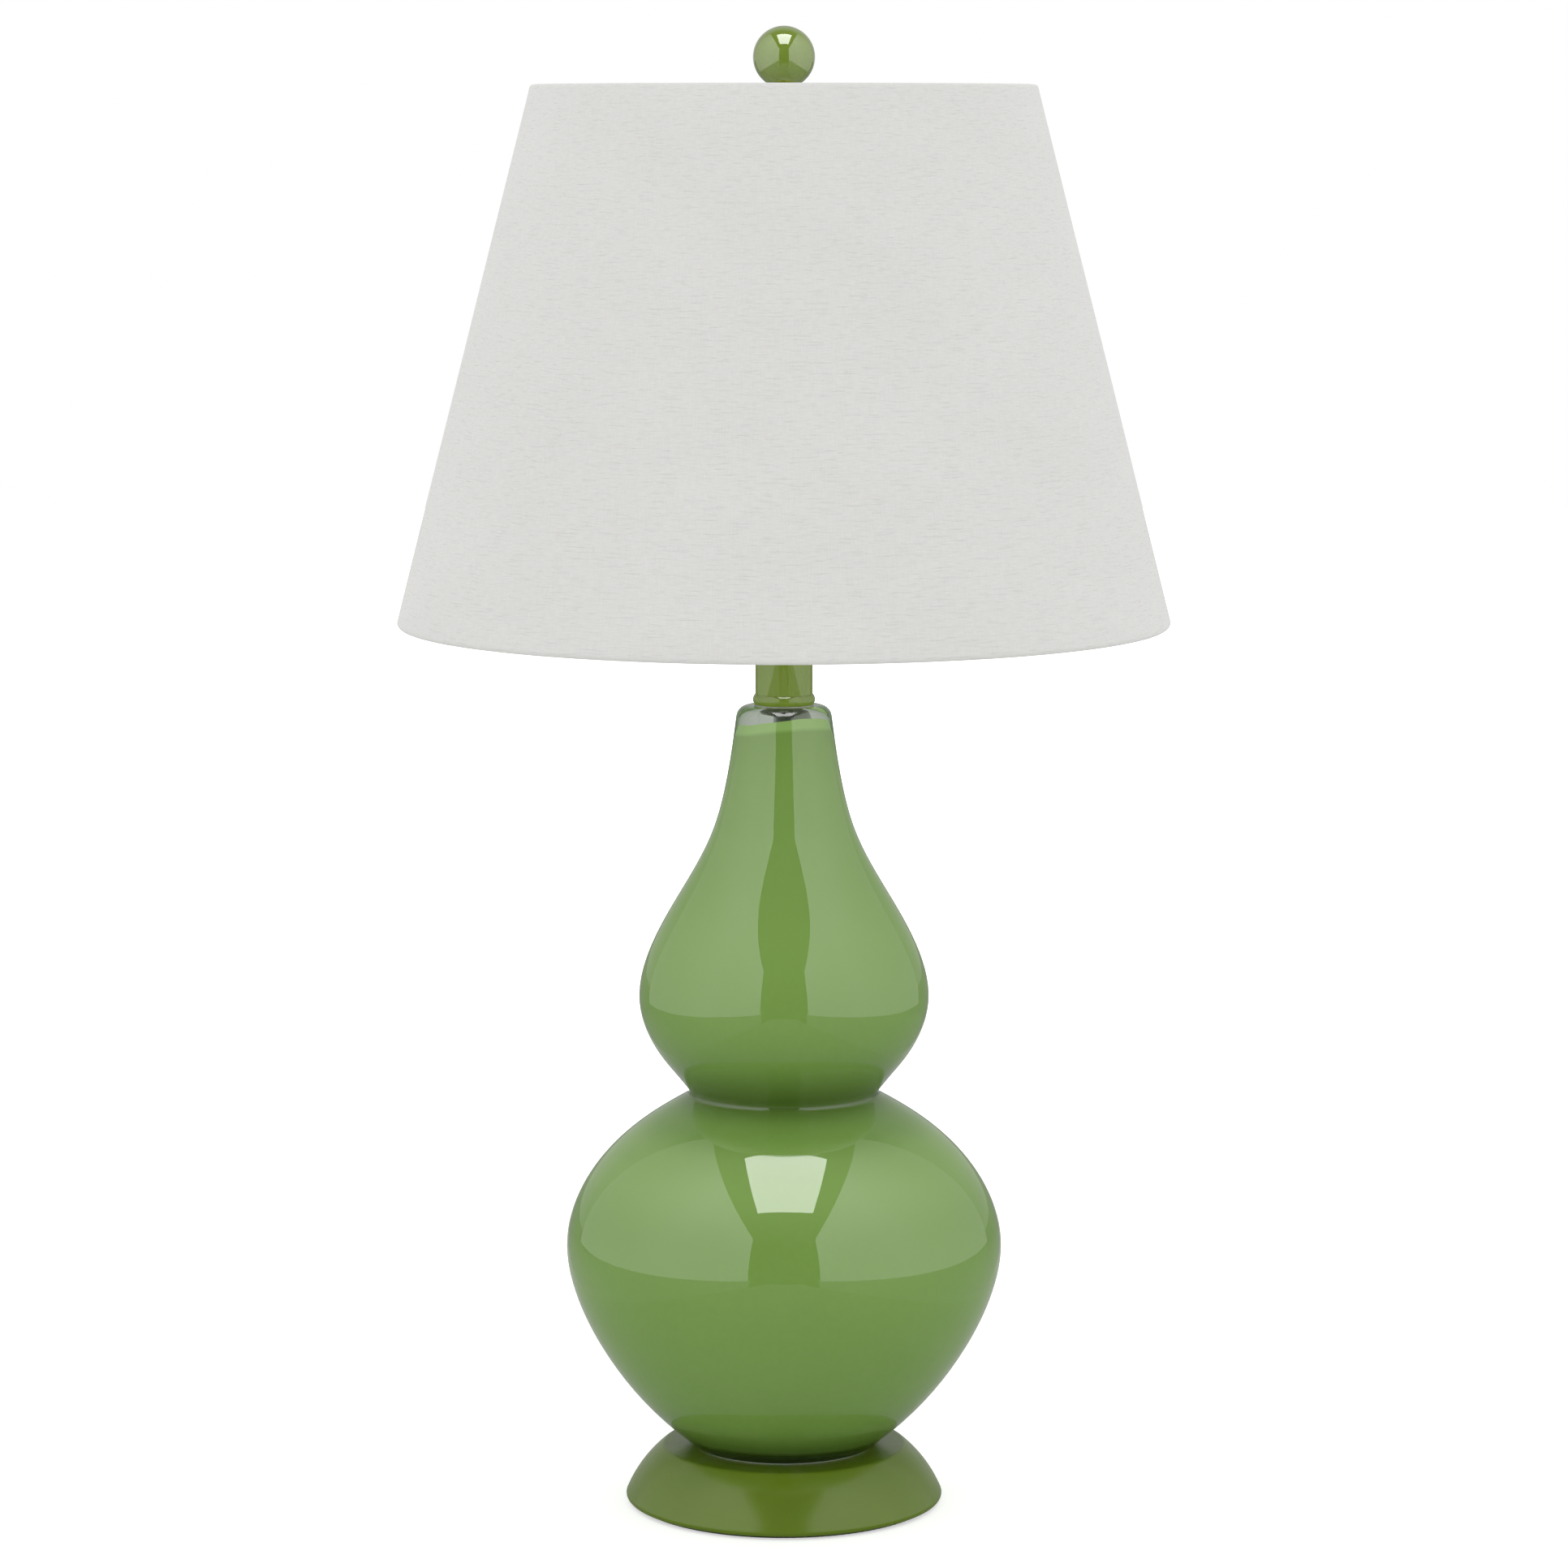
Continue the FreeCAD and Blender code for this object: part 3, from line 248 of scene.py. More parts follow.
def moved(piece: Piece, shift: Callable[[Vector], Vector]) -> Piece:
    """Moves the points of a piece.

    Args:
        piece: the mesh.
        shift: gives each point's move from its place.

    Returns:
        The piece.
    """
    for vertex in piece.data.vertices:
        vertex.co += shift(vertex.co)
    piece.data.update()
    return piece


def drilled(piece: Piece, radius: float, centre: Vector, axis: Vector, length: float) -> Piece:
    """Drills a round hole.

    Args:
        piece: what is drilled.
        radius: the hole's radius.
        centre: the middle of the drill's run.
        axis: the drill's direction.
        length: the drill's run.

    Returns:
        The piece with its hole.
    """
    deselect()
    bpy.ops.mesh.primitive_cylinder_add(vertices=32, radius=radius, depth=length, location=centre,
                                        rotation=axis.to_track_quat("Z", "Y").to_euler())
    drill = bpy.context.object
    take(piece)
    cut = piece.modifiers.new("hole", "BOOLEAN")
    cut.object, cut.operation, cut.solver = drill, "DIFFERENCE", "EXACT"
    bpy.ops.object.modifier_apply(modifier=cut.name)
    bpy.data.objects.remove(drill)
    bpy.ops.object.shade_smooth_by_angle(angle=SMOOTH_ANGLE)
    return piece


def carried(node: str, name: str) -> Piece:
    """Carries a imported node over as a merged, smooth piece of its own.

    Args:
        node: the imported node.
        name: the new piece's name.

    Returns:
        The piece, in the node's place.
    """
    piece = frame["nodes"][node].copy()
    piece.data = piece.data.copy()
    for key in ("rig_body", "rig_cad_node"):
        piece.pop(key, None)
    piece.parent = None
    bpy.context.scene.collection.objects.link(piece)
    take(piece)
    bpy.ops.object.mode_set(mode="EDIT")
    bpy.ops.mesh.select_all(action="SELECT")
    bpy.ops.mesh.remove_doubles(threshold=MERGE)
    bpy.ops.object.mode_set(mode="OBJECT")
    return settle(piece, name)


# Node bench


@dataclass(frozen=True)
class Wiring:
    """One shader tree, with short ways to add nodes to it."""

    tree: Tree

    def put(self, kind: str, inputs: dict | None = None, **settings: object) -> bpy.types.Node:
        """Adds a shader node.

        Args:
            kind: its type, without the ShaderNode prefix.
            inputs: a value or an output socket for each input, by name or number.
            settings: the node's own properties.

        Returns:
            The new node.
        """
        node = self.tree.nodes.new("ShaderNode" + kind)
        for key, value in settings.items():
            setattr(node, key, value)
        for key, value in (inputs or {}).items():
            if isinstance(value, Output):
                self.tree.links.new(value, node.inputs[key])
            else:
                node.inputs[key].default_value = value
        return node

    def calc(self, operation: str, *values: object) -> Output:
        """Adds a Math node and returns its output."""
        return self.put("Math", dict(enumerate(values)), operation=operation).outputs[0]

    def plus(self, first: object, second: object) -> Output:
        """Adds two values."""
        return self.calc("ADD", first, second)

    def times(self, first: object, second: object) -> Output:
        """Multiplies two values."""
        return self.calc("MULTIPLY", first, second)

    def band(self, value: object, low: float, high: float, to_low: float = 0.0,
             to_high: float = 1.0) -> Output:
        """Adds a smooth ramp from one range to another and returns its output."""
        ranges = dict(enumerate((value, low, high, to_low, to_high)))
        return self.put("MapRange", ranges, interpolation_type="SMOOTHSTEP").outputs[0]

    def blended(self, share: object, first: object, second: object) -> Output:
        """Adds a colour mix and returns its output."""
        return self.put("Mix", {0: share, 6: first, 7: second}, data_type="RGBA").outputs[2]

    def either(self, share: object, first: Output, second: Output) -> Output:
        """Adds a shader mix and returns its output."""
        return self.put("MixShader", {0: share, 1: first, 2: second}).outputs[0]

    def place(self) -> Output:
        """Gives the shading point on Object coordinates."""
        return self.put("TexCoord").outputs["Object"]

    def split(self, vector: Output) -> dict[str, Output]:
        """Splits a vector and gives its X, Y and Z."""
        parts = self.put("SeparateXYZ", {0: vector}).outputs
        return {axis: parts[axis] for axis in "XYZ"}

    def noise(self, scale: object, detail: float, at: Output | None = None, **settings: object) -> Output:
        """Adds noise, on Object coordinates where no others are given, and returns its value."""
        where = self.place() if at is None else at
        inputs = {"Vector": where, "Scale": scale, "Detail": detail}
        return self.put("TexNoise", inputs, **settings).outputs[0]

    def bump(self, height: Output, distance: float, strength: float = 1.0) -> Output:
        """Adds relief and returns the normal it bends."""
        return self.put("Bump", {"Height": height, "Distance": distance, "Strength": strength}).outputs[0]

    def glow(self, strength: object) -> Output:
        """Adds white light of a strength."""
        return self.put("Emission", {"Strength": strength}).outputs[0]


def cleared(data: bpy.types.Material | bpy.types.World) -> Wiring:
    """Gives a new material or world nodes, and takes the first ones out."""
    data.use_nodes = True
    data.node_tree.nodes.clear()
    return Wiring(data.node_tree)


def effect(inputs: dict[str, object], outputs: dict[str, str]) -> Callable[[Callable], Callable[[], Tree]]:
    """Makes a shared node group, at its first use, out of a rule that fills it and has its name.

    Args:
        inputs: the default of each input: a number, or a colour of four numbers.
        outputs: the socket type of each output.

    Returns:
        The decorator that turns the rule into a function that gives the group's tree.
    """
    def wrap(rule: Callable[[Wiring, dict], dict]) -> Callable[[], Tree]:
        """Wraps the rule."""
        @wraps(rule)
        def made() -> Tree:
            """Gives the group's tree."""
            if rule.__name__ in bpy.data.node_groups:
                return bpy.data.node_groups[rule.__name__]
            tree = bpy.data.node_groups.new(rule.__name__, "ShaderNodeTree")
            for title, default in inputs.items():
                kind = VALUE if isinstance(default, float) else COLOUR
                tree.interface.new_socket(title, in_out="INPUT", socket_type=kind).default_value = default
            for title, kind in outputs.items():
                tree.interface.new_socket(title, in_out="OUTPUT", socket_type=kind)
            way_in, way_out = (tree.nodes.new("NodeGroup" + end) for end in ("Input", "Output"))
            for title, source in rule(Wiring(tree), {s.name: s for s in way_in.outputs if s.name}).items():
                tree.links.new(source, way_out.inputs[title])
            return tree
        return made
    return wrap


@effect({"Color": WHITE, "Other Color": (0, 0, 0, 1), "Patch Scale": 20.0, "Speck Scale": 900.0,
         "Roughness": 0.5, "Roughness Spread": 0.1},
        {"Color": COLOUR, "Roughness": VALUE})
def mottle(on: Wiring, given: dict) -> dict:
    """Uneven colour and sheen: cloudy patches over fine specks."""
    clouds, specks = on.noise(given["Patch Scale"], 4.0), on.noise(given["Speck Scale"], 2.0)
    mask = on.band(on.plus(on.times(clouds, 0.6), on.times(specks, 0.4)), 0.34, 0.66)
    spread = on.times(on.calc("SUBTRACT", mask, 0.5), given["Roughness Spread"])
    return {"Color": on.blended(mask, given["Color"], given["Other Color"]),
            "Roughness": on.plus(given["Roughness"], spread)}


@effect({"Color": WHITE, "Roughness": 0.5, "Amount": 0.1}, {"Color": COLOUR, "Roughness": VALUE})
def dust(on: Wiring, given: dict) -> dict:
    """Thin dust that lies on faces that look up, in loose patches."""
    up = on.split(on.put("NewGeometry").outputs["Normal"])["Z"]
    lies = on.times(on.band(up, 0.55, 1.0), on.band(on.noise(60.0, 6.0), 0.4, 0.75))
    amount = on.times(lies, given["Amount"])
    return {"Color": on.blended(amount, given["Color"], (0.55, 0.53, 0.5, 1)),
            "Roughness": on.plus(given["Roughness"], on.times(amount, 0.4))}


@effect({"Scale": 4000.0}, {"Height": VALUE})
def turning_lines(on: Wiring, given: dict) -> dict:
    """Fine rings that a lathe or a polishing wheel leaves round the lamp's axis."""
    x, y, z = on.split(on.place()).values()
    radius = on.calc("SQRT", on.plus(on.times(x, x), on.times(y, y)))
    across = on.put("CombineXYZ", {0: radius, 1: on.times(x, 0.02), 2: z}).outputs[0]
    return {"Height": on.noise(given["Scale"], 3.0, across)}


@effect({"Color": WHITE, "Shadow Color": (0.8, 0.8, 0.8, 1), "Radius": 0.14},
        {"Color": COLOUR, "Height": VALUE})
def slub_weave(on: Wiring, given: dict) -> dict:
    """Cotton cloth round the shade: fine threads both ways, with long thick slubs in the weft."""
    x, y, z = on.split(on.place()).values()
    round_way = on.times(on.calc("ARCTAN2", x, on.times(y, -1.0)), given["Radius"])

    def streaks(along: Output, across: Output, long_scale: float, fine_scale: float, detail: float) -> Output:
        """Noise drawn out along the thread."""
        at = on.put("CombineXYZ", {0: on.times(along, long_scale), 1: on.times(across, fine_scale)})
        return on.noise(1.0, detail, at.outputs[0], noise_dimensions="2D")

    slubs = on.band(streaks(round_way, z, 95.0, 1100.0, 2.0), 0.56, 0.8)
    weft = streaks(round_way, z, 240.0, 1500.0, 1.0)
    warp = streaks(z, round_way, 170.0, 1500.0, 1.0)
    clouds = streaks(round_way, z, 14.0, 30.0, 3.0)
    threads = on.plus(on.times(weft, 0.6), on.times(warp, 0.4))
    uneven = on.plus(on.times(slubs, -0.2), on.times(clouds, 0.5))
    tone = on.plus(on.band(threads, 0.3, 0.7, 0.0, 0.55), uneven)
    return {"Color": on.blended(tone, given["Shadow Color"], given["Color"]),
            "Height": on.plus(threads, on.times(slubs, 1.2))}


# Finishes


def shown(colour: Colour) -> tuple[float, float, float, float]:
    """Turns a colour as seen on a screen into the shader's linear one."""
    return (*(c / 12.92 if c <= 0.04045 else ((c + 0.055) / 1.055) ** 2.4 for c in colour), 1.0)


@dataclass(frozen=True)
class Finish:
    """What a surface is made of; each kind of finish builds its own nodes."""

    name: str
    slot: str

    def build(self, on: Wiring) -> Output:
        """Builds the finish and returns its last shader output."""
        raise NotImplementedError

    def material(self) -> bpy.types.Material:
        """Makes the material once, and gives the same one after that."""
        if self.name in bpy.data.materials:
            return bpy.data.materials[self.name]
        made = bpy.data.materials.new(self.name)
        on = cleared(made)
        out = on.put("OutputMaterial", {"Surface": self.build(on)})
        self.fill(on, out)
        return made

    def fill(self, on: Wiring, out: bpy.types.Node) -> None:
        """Fills the body under the surface; most finishes leave it as it is."""

    def dress(self, piece: Piece) -> Piece:
        """Gives a piece this finish alone."""
        piece.data.materials.clear()
        piece.data.materials.append(self.material())
        return piece


@dataclass(frozen=True)
class Mottled(Finish):
    """A finish whose colour and roughness are a little uneven."""

    colour: Colour = (0.5, 0.5, 0.5)
    other: Colour = (0.45, 0.45, 0.45)
    patch_scale: float = 30.0
    speck_scale: float = 900.0
    roughness: float = 0.6
    roughness_spread: float = 0.12

    def look(self, on: Wiring, dusty: float | None = None) -> dict[str, Output]:
        """Adds the mottle, under dust where an amount is given, as inputs of the shader."""
        made = on.put("Group", {
            "Color": shown(self.colour), "Other Color": shown(self.other), "Patch Scale": self.patch_scale,
            "Speck Scale": self.speck_scale, "Roughness": self.roughness,
            "Roughness Spread": self.roughness_spread}, node_tree=mottle()).outputs
        if dusty is not None:
            under = {"Color": made["Color"], "Roughness": made["Roughness"], "Amount": dusty}
            made = on.put("Group", under, node_tree=dust()).outputs
        return {"Base Color": made["Color"], "Roughness": made["Roughness"]}


@dataclass(frozen=True)
class Matter(Mottled):
    """A plain stuff through and through: felt, board, iron, moulding, rubber, enamel."""

    relief_scale: float = 900.0
    relief: float = 0.00005
    sheen: float = 0.0
    coat: float = 0.0
    translucency: float = 0.0
    dusty: float = 0.0

    def build(self, on: Wiring) -> Output:
        """Builds the stuff: mottled colour and sheen over a fine relief."""
        grain = on.noise(self.relief_scale, 5.0)
        return on.put("BsdfPrincipled", {
            **self.look(on, self.dusty), "Normal": on.bump(grain, self.relief),
            "Sheen Weight": self.sheen, "Sheen Roughness": 0.5, "Coat Weight": self.coat,
            "Coat Roughness": 0.08, "Subsurface Weight": self.translucency,
            "Subsurface Scale": 0.002}).outputs[0]


class Plating(Enum):
    """Bright metals: colour as seen, and roughness."""

    NICKEL = ((0.80, 0.78, 0.75), 0.16)
    BRASS = ((0.87, 0.71, 0.39), 0.22)
    ZINC = ((0.68, 0.69, 0.70), 0.34)
    ALUMINIUM = ((0.82, 0.83, 0.84), 0.28)


@dataclass(frozen=True)
class BrightMetal(Mottled):
    """Plated or bare metal with turning lines, smudges and a little dullness."""

    patch_scale: float = 70.0
    speck_scale: float = 1500.0
    roughness_spread: float = 0.14
    line_depth: float = 0.00001

    def build(self, on: Wiring) -> Output:
        """Builds the metal."""
        lines = on.put("Group", node_tree=turning_lines()).outputs["Height"]
        return on.put("BsdfPrincipled", {**self.look(on), "Metallic": 1.0,
                                         "Normal": on.bump(lines, self.line_depth)}).outputs[0]


def metal(name: str, slot: str, plating: Plating) -> BrightMetal:
    """Gives the finish of a bright metal.

    Args:
        name: the material's name.
        slot: the material slot's name.
        plating: which metal.

    Returns:
        The finish, with patches a little darker than its colour.
    """
    colour, roughness = plating.value
    dull = tuple(c * DULLER for c in colour)
    return BrightMetal(name, slot, colour=colour, other=dull, roughness=roughness)


@dataclass(frozen=True)
class GlossPaint(Mottled):
    """Sprayed olive green enamel with a faint orange peel."""

    colour: Colour = (0.485, 0.575, 0.20)
    other: Colour = (0.47, 0.56, 0.185)
    patch_scale: float = 35.0
    speck_scale: float = 2500.0
    roughness: float = 0.05
    roughness_spread: float = 0.02
    dusty: float = 0.05
    peel_scale: float = 420.0
    peel_depth: float = 0.000012
    gloss: float = 0.5
    lacquer: float = 0.0

    def build(self, on: Wiring) -> Output:
        """Builds the enamel."""
        peel = on.bump(on.noise(self.peel_scale, 1.0), self.peel_depth)
        return on.put("BsdfPrincipled", {
            **self.look(on, self.dusty), "Normal": peel, "Specular IOR Level": self.gloss,
            "Coat Weight": self.lacquer, "Coat Roughness": 0.02}).outputs[0]


@dataclass(frozen=True)
class ClearGlass(Finish):
    """Blown soda glass, clear and grey-green in its depth, with faint waves; it lets lamplight through."""

    depth_colour: Colour = (0.79, 0.84, 0.76)
    depth_density: float = 110.0
    passed_on: Colour = (0.96, 0.97, 0.96)

    def fill(self, on: Wiring, out: bpy.types.Node) -> None:
        """Gives the glass its colour in depth."""
        depth = on.put("VolumeAbsorption", {"Color": (*self.depth_colour, 1), "Density": self.depth_density})
        on.tree.links.new(depth.outputs[0], out.inputs["Volume"])

    def build(self, on: Wiring) -> Output:
        """Builds the glass."""
        waves = on.bump(on.noise(22.0, 1.0), 0.0002, 0.5)
        smears = on.band(on.noise(45.0, 5.0), 0.5, 0.8, 0.0, 0.02)
        glass = on.put("BsdfPrincipled", {"Base Color": WHITE, "Roughness": smears, "IOR": 1.55,
                                          "Transmission Weight": 1.0, "Normal": waves}).outputs[0]
        clear = on.put("BsdfTransparent", {"Color": (*self.passed_on, 1)}).outputs[0]
        path = on.put("LightPath").outputs
        lamplight = on.calc("MAXIMUM", path["Is Shadow Ray"], path["Is Diffuse Ray"])
        return on.either(lamplight, glass, clear)


@dataclass(frozen=True)
class InnerPaint(Mottled):
    """Paint poured into the glass, with painted light and shade in its colour by level and by side."""

    colour: Colour = (0.525, 0.66, 0.335)
    other: Colour = (0.512, 0.647, 0.322)
    patch_scale: float = 14.0
    speck_scale: float = 350.0
    roughness: float = 0.5
    roughness_spread: float = 0.1
    # Painted light: a lighter colour on the lower belly's shoulder, where more light falls from above.
    shoulder: Colour = (0.58, 0.71, 0.395)
    shoulder_starts: Point = (0.135, 0.162)
    shoulder_ends: Point = (0.168, 0.178)
    # Painted light: lighter colours up the upper belly and at the neck, making up for the light that the
    # shade above keeps off.
    upper: Colour = (0.562, 0.70, 0.365)
    upper_starts: Point = (0.225, 0.275)
    neck: Colour = (0.61, 0.745, 0.39)
    neck_starts: Point = (0.31, 0.345)
    # Painted shade: a deeper colour in the waist and over the floor.
    pooled: Colour = (0.33, 0.43, 0.17)
    # Painted light: a paler band under the free edge, for the brightening that the glass's refraction gives
    # there.
    thin: Colour = (0.73, 0.87, 0.52)
    thin_ends: Point = (0.00315, 0.00585)
    # Painted light: a paler colour on the coat's side in the hollow, which the light hardly reaches.
    free_side: Colour = (0.86, 0.91, 0.76)

    def build(self, on: Wiring) -> Output:
        """Builds the paint from each point's level and the coat's own notes."""
        look = self.look(on)
        level = on.split(on.place())["Z"]
        noted = {title: on.put("Attribute", attribute_name=title).outputs["Fac"]
                 for title in ("below_edge", "pooled", "free_side")}
        # Painted light: a band of lighter colour on the lower belly's shoulder.
        shoulder_ends = on.band(level, *self.shoulder_ends, 1.0, 0.0)
        lit_shoulder = on.times(on.band(level, *self.shoulder_starts), shoulder_ends)
        colour = look["Base Color"]
        # Painted light: lighter paint going up the upper belly and, lighter still, at the neck.
        for share, other in ((lit_shoulder, self.shoulder), (on.band(level, *self.upper_starts), self.upper),
                             (on.band(level, *self.neck_starts), self.neck),
                             # Painted light: the paler band under the free edge.
                             (on.band(noted["below_edge"], *self.thin_ends, 1.0, 0.0), self.thin),
                             # Painted light: the coat's side in the hollow is paler.
                             # Painted shade deepens the colour in the waist and over the floor.
                             (noted["pooled"], self.pooled), (noted["free_side"], self.free_side)):
            colour = on.blended(share, colour, shown(other))
        return on.put("BsdfPrincipled", {
            **look, "Base Color": colour, "Normal": on.bump(on.noise(90.0, 3.0), 0.00005),
            "Specular IOR Level": 0.0}).outputs[0]


@dataclass(frozen=True)
class SlubCotton(Finish):
    """Off-white slub cotton laid on the shade."""

    colour: Colour = (0.873, 0.871, 0.861)
    shadow: Colour = (0.838, 0.836, 0.825)
    pattern_radius: float = 0.143

    def build(self, on: Wiring) -> Output:
        """Builds the cloth."""
        weave = on.put("Group", {"Color": shown(self.colour), "Shadow Color": shown(self.shadow),
                                 "Radius": self.pattern_radius}, node_tree=slub_weave()).outputs
        return on.put("BsdfPrincipled", {
            "Base Color": weave["Color"], "Roughness": 0.92, "Normal": on.bump(weave["Height"], 0.00012, 0.8),
            "Sheen Weight": 0.12, "Sheen Roughness": 0.6, "Specular IOR Level": 0.2}).outputs[0]


GREEN_PAINT = GlossPaint("olive_gloss_paint", "green_paint")
FOOT_PAINT = GlossPaint("olive_spun_foot_paint", "green_paint", (0.385, 0.475, 0.11),
                        (0.37, 0.46, 0.10), roughness=0.2, gloss=0.33)
FINIAL_PAINT = GlossPaint("olive_lacquered_paint", "green_paint", lacquer=1.0)
GLASS = ClearGlass("clear_blown_glass", "green_glass")
INNER_PAINT = InnerPaint("green_paint_inside_glass", "green_paint")
COTTON = SlubCotton("white_slub_cotton", "cotton")
NICKEL = metal("nickel_plate", "nickel", Plating.NICKEL)
BRASS = metal("bare_brass", "brass", Plating.BRASS)
ZINC = metal("zinc_plated_steel", "zinc_steel", Plating.ZINC)
ALUMINIUM = metal("bulb_cap_aluminium", "aluminium", Plating.ALUMINIUM)
FELT = Matter("green_baize_felt", "felt", (0.13, 0.17, 0.12), (0.09, 0.12, 0.085),
              patch_scale=60, speck_scale=1800, roughness=0.95, relief_scale=1400, relief=0.0004, sheen=0.5)
BOARD = Matter("pressed_fibreboard", "board", (0.52, 0.42, 0.31), (0.42, 0.33, 0.24),
               patch_scale=80, speck_scale=1100, roughness=0.85, relief=0.0002)
IRON = Matter("cast_iron_as_cast", "iron", (0.20, 0.19, 0.185), (0.27, 0.22, 0.18),
              patch_scale=45, roughness=0.75, relief_scale=700, relief=0.0003)
RUBBER = Matter("clear_soft_rubber", "clear_rubber", (0.66, 0.67, 0.63), (0.60, 0.61, 0.57),
                roughness=0.35, relief=0.00002, translucency=0.5, coat=0.2)
PHENOLIC = Matter("black_moulding", "black_plastic", (0.05, 0.048, 0.046), (0.075, 0.072, 0.07),
                  roughness=0.32, relief_scale=1500, relief=0.00003, coat=0.15, dusty=0.12)
FIBRE = Matter("vulcanised_fibre", "fibre", (0.36, 0.22, 0.15), (0.30, 0.17, 0.11),
               roughness=0.6, relief_scale=1200, relief=0.00008)
STYRENE = Matter("white_styrene_sheet", "styrene", (0.93, 0.93, 0.915), (0.915, 0.915, 0.90),
                 roughness=0.45, roughness_spread=0.06, relief_scale=500, relief=0.00002, translucency=0.15)
WHITE_WIRE = Matter("white_dipped_wire", "white_wire", (0.91, 0.91, 0.895), (0.87, 0.87, 0.85),
                    roughness=0.3, relief_scale=600, relief=0.00005, coat=0.3, dusty=0.15)
BULB_WHITE = Matter("white_frosted_glass", "bulb_white", (0.94, 0.94, 0.93), (0.92, 0.92, 0.91),
                    roughness=0.3, roughness_spread=0.05, relief=0.00001, coat=0.4, translucency=0.3)
BULB_BLACK = Matter("black_bulb_glass", "bulb_black", (0.03, 0.03, 0.035), (0.06, 0.055, 0.06),
                    roughness=0.15, relief=0.00002, coat=0.6)


def stands(piece: Piece, finish: Finish, body: str, *nodes: str) -> Piece:
    """Finishes a piece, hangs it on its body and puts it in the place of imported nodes.

    Args:
        piece: the finished mesh.
        finish: what it is made of.
        body: the body it rides on.
        nodes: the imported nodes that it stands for.

    Returns:
        The piece.
    """
    finish.dress(piece)
    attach(piece, body)
    if nodes:
        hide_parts(*nodes)
    log.info("%s: %d faces, on %s", piece.name, len(piece.data.polygons), body)
    return piece


def carry(finishes: dict[str, Finish], body: str) -> None:
    """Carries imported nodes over, each with its finish, and leaves them on one body."""
    for node, finish in finishes.items():
        stands(carried(node, node + "_finished"), finish, body, node)


# Sub-assemblies


@dataclass
class Foot:
    """Spun foot with what closes and weighs it."""

    rim: Point = (0.0734, 0.0012)
    belly: Point = (0.0668, 0.0140)
    shoulder: Point = (0.0554, 0.0262)
    wall: float = 0.0024
    plate: float = 0.0030
    rim_rounding: float = 0.0019
    shoulder_rounding: float = 0.0030
    pipe_hole: float = 0.0051
    cord_hole: float = 0.0044
    cord_hole_centre: Vector = Vector((0, 0.069318, 0.0100))
    cord_direction: Vector = Vector((0, 0.86778, 0.49695))
    faces_round: int = 160

    def shell(self) -> Piece:
        """Models the painted shell, open below, with its pipe hole and cord hole."""
        outside = [Vector((self.rim[0] - self.wall, self.rim[1]))]
        outside += arc(self.rim, self.belly, self.shoulder, 24)
        outside += corners((self.pipe_hole, self.shoulder[1]))
        outside = rounded(outside, self.rim, self.rim_rounding)
        outside = rounded(outside, self.shoulder, self.shoulder_rounding)
        under = self.shoulder[1] - self.plate
        inner = arc((self.shoulder[0] - self.wall, under), (self.belly[0] - self.wall, self.belly[1]),
                    (self.rim[0] - self.wall, self.rim[1]), 20)
        inside = rounded(corners((self.pipe_hole, under)) + inner, inner[0][:], self.shoulder_rounding / 2)
        shell = turned("painted_foot", outside + inside, self.faces_round)
        return drilled(shell, self.cord_hole, self.cord_hole_centre, self.cord_direction, 4 * self.wall)

    def make(self) -> None:
        """Makes the foot and dresses what is in it."""
        stands(self.shell(), FOOT_PAINT, "lamp", "base_foot")
        carry({"bottom_felt": FELT, "bottom_board": BOARD, "base_weight": IRON, "cord_bushing": PHENOLIC,
               "flat_washer": ZINC, "lock_washer": ZINC, "pipe_nut_lower": BRASS, "lamp_pipe": ZINC}, "lamp")


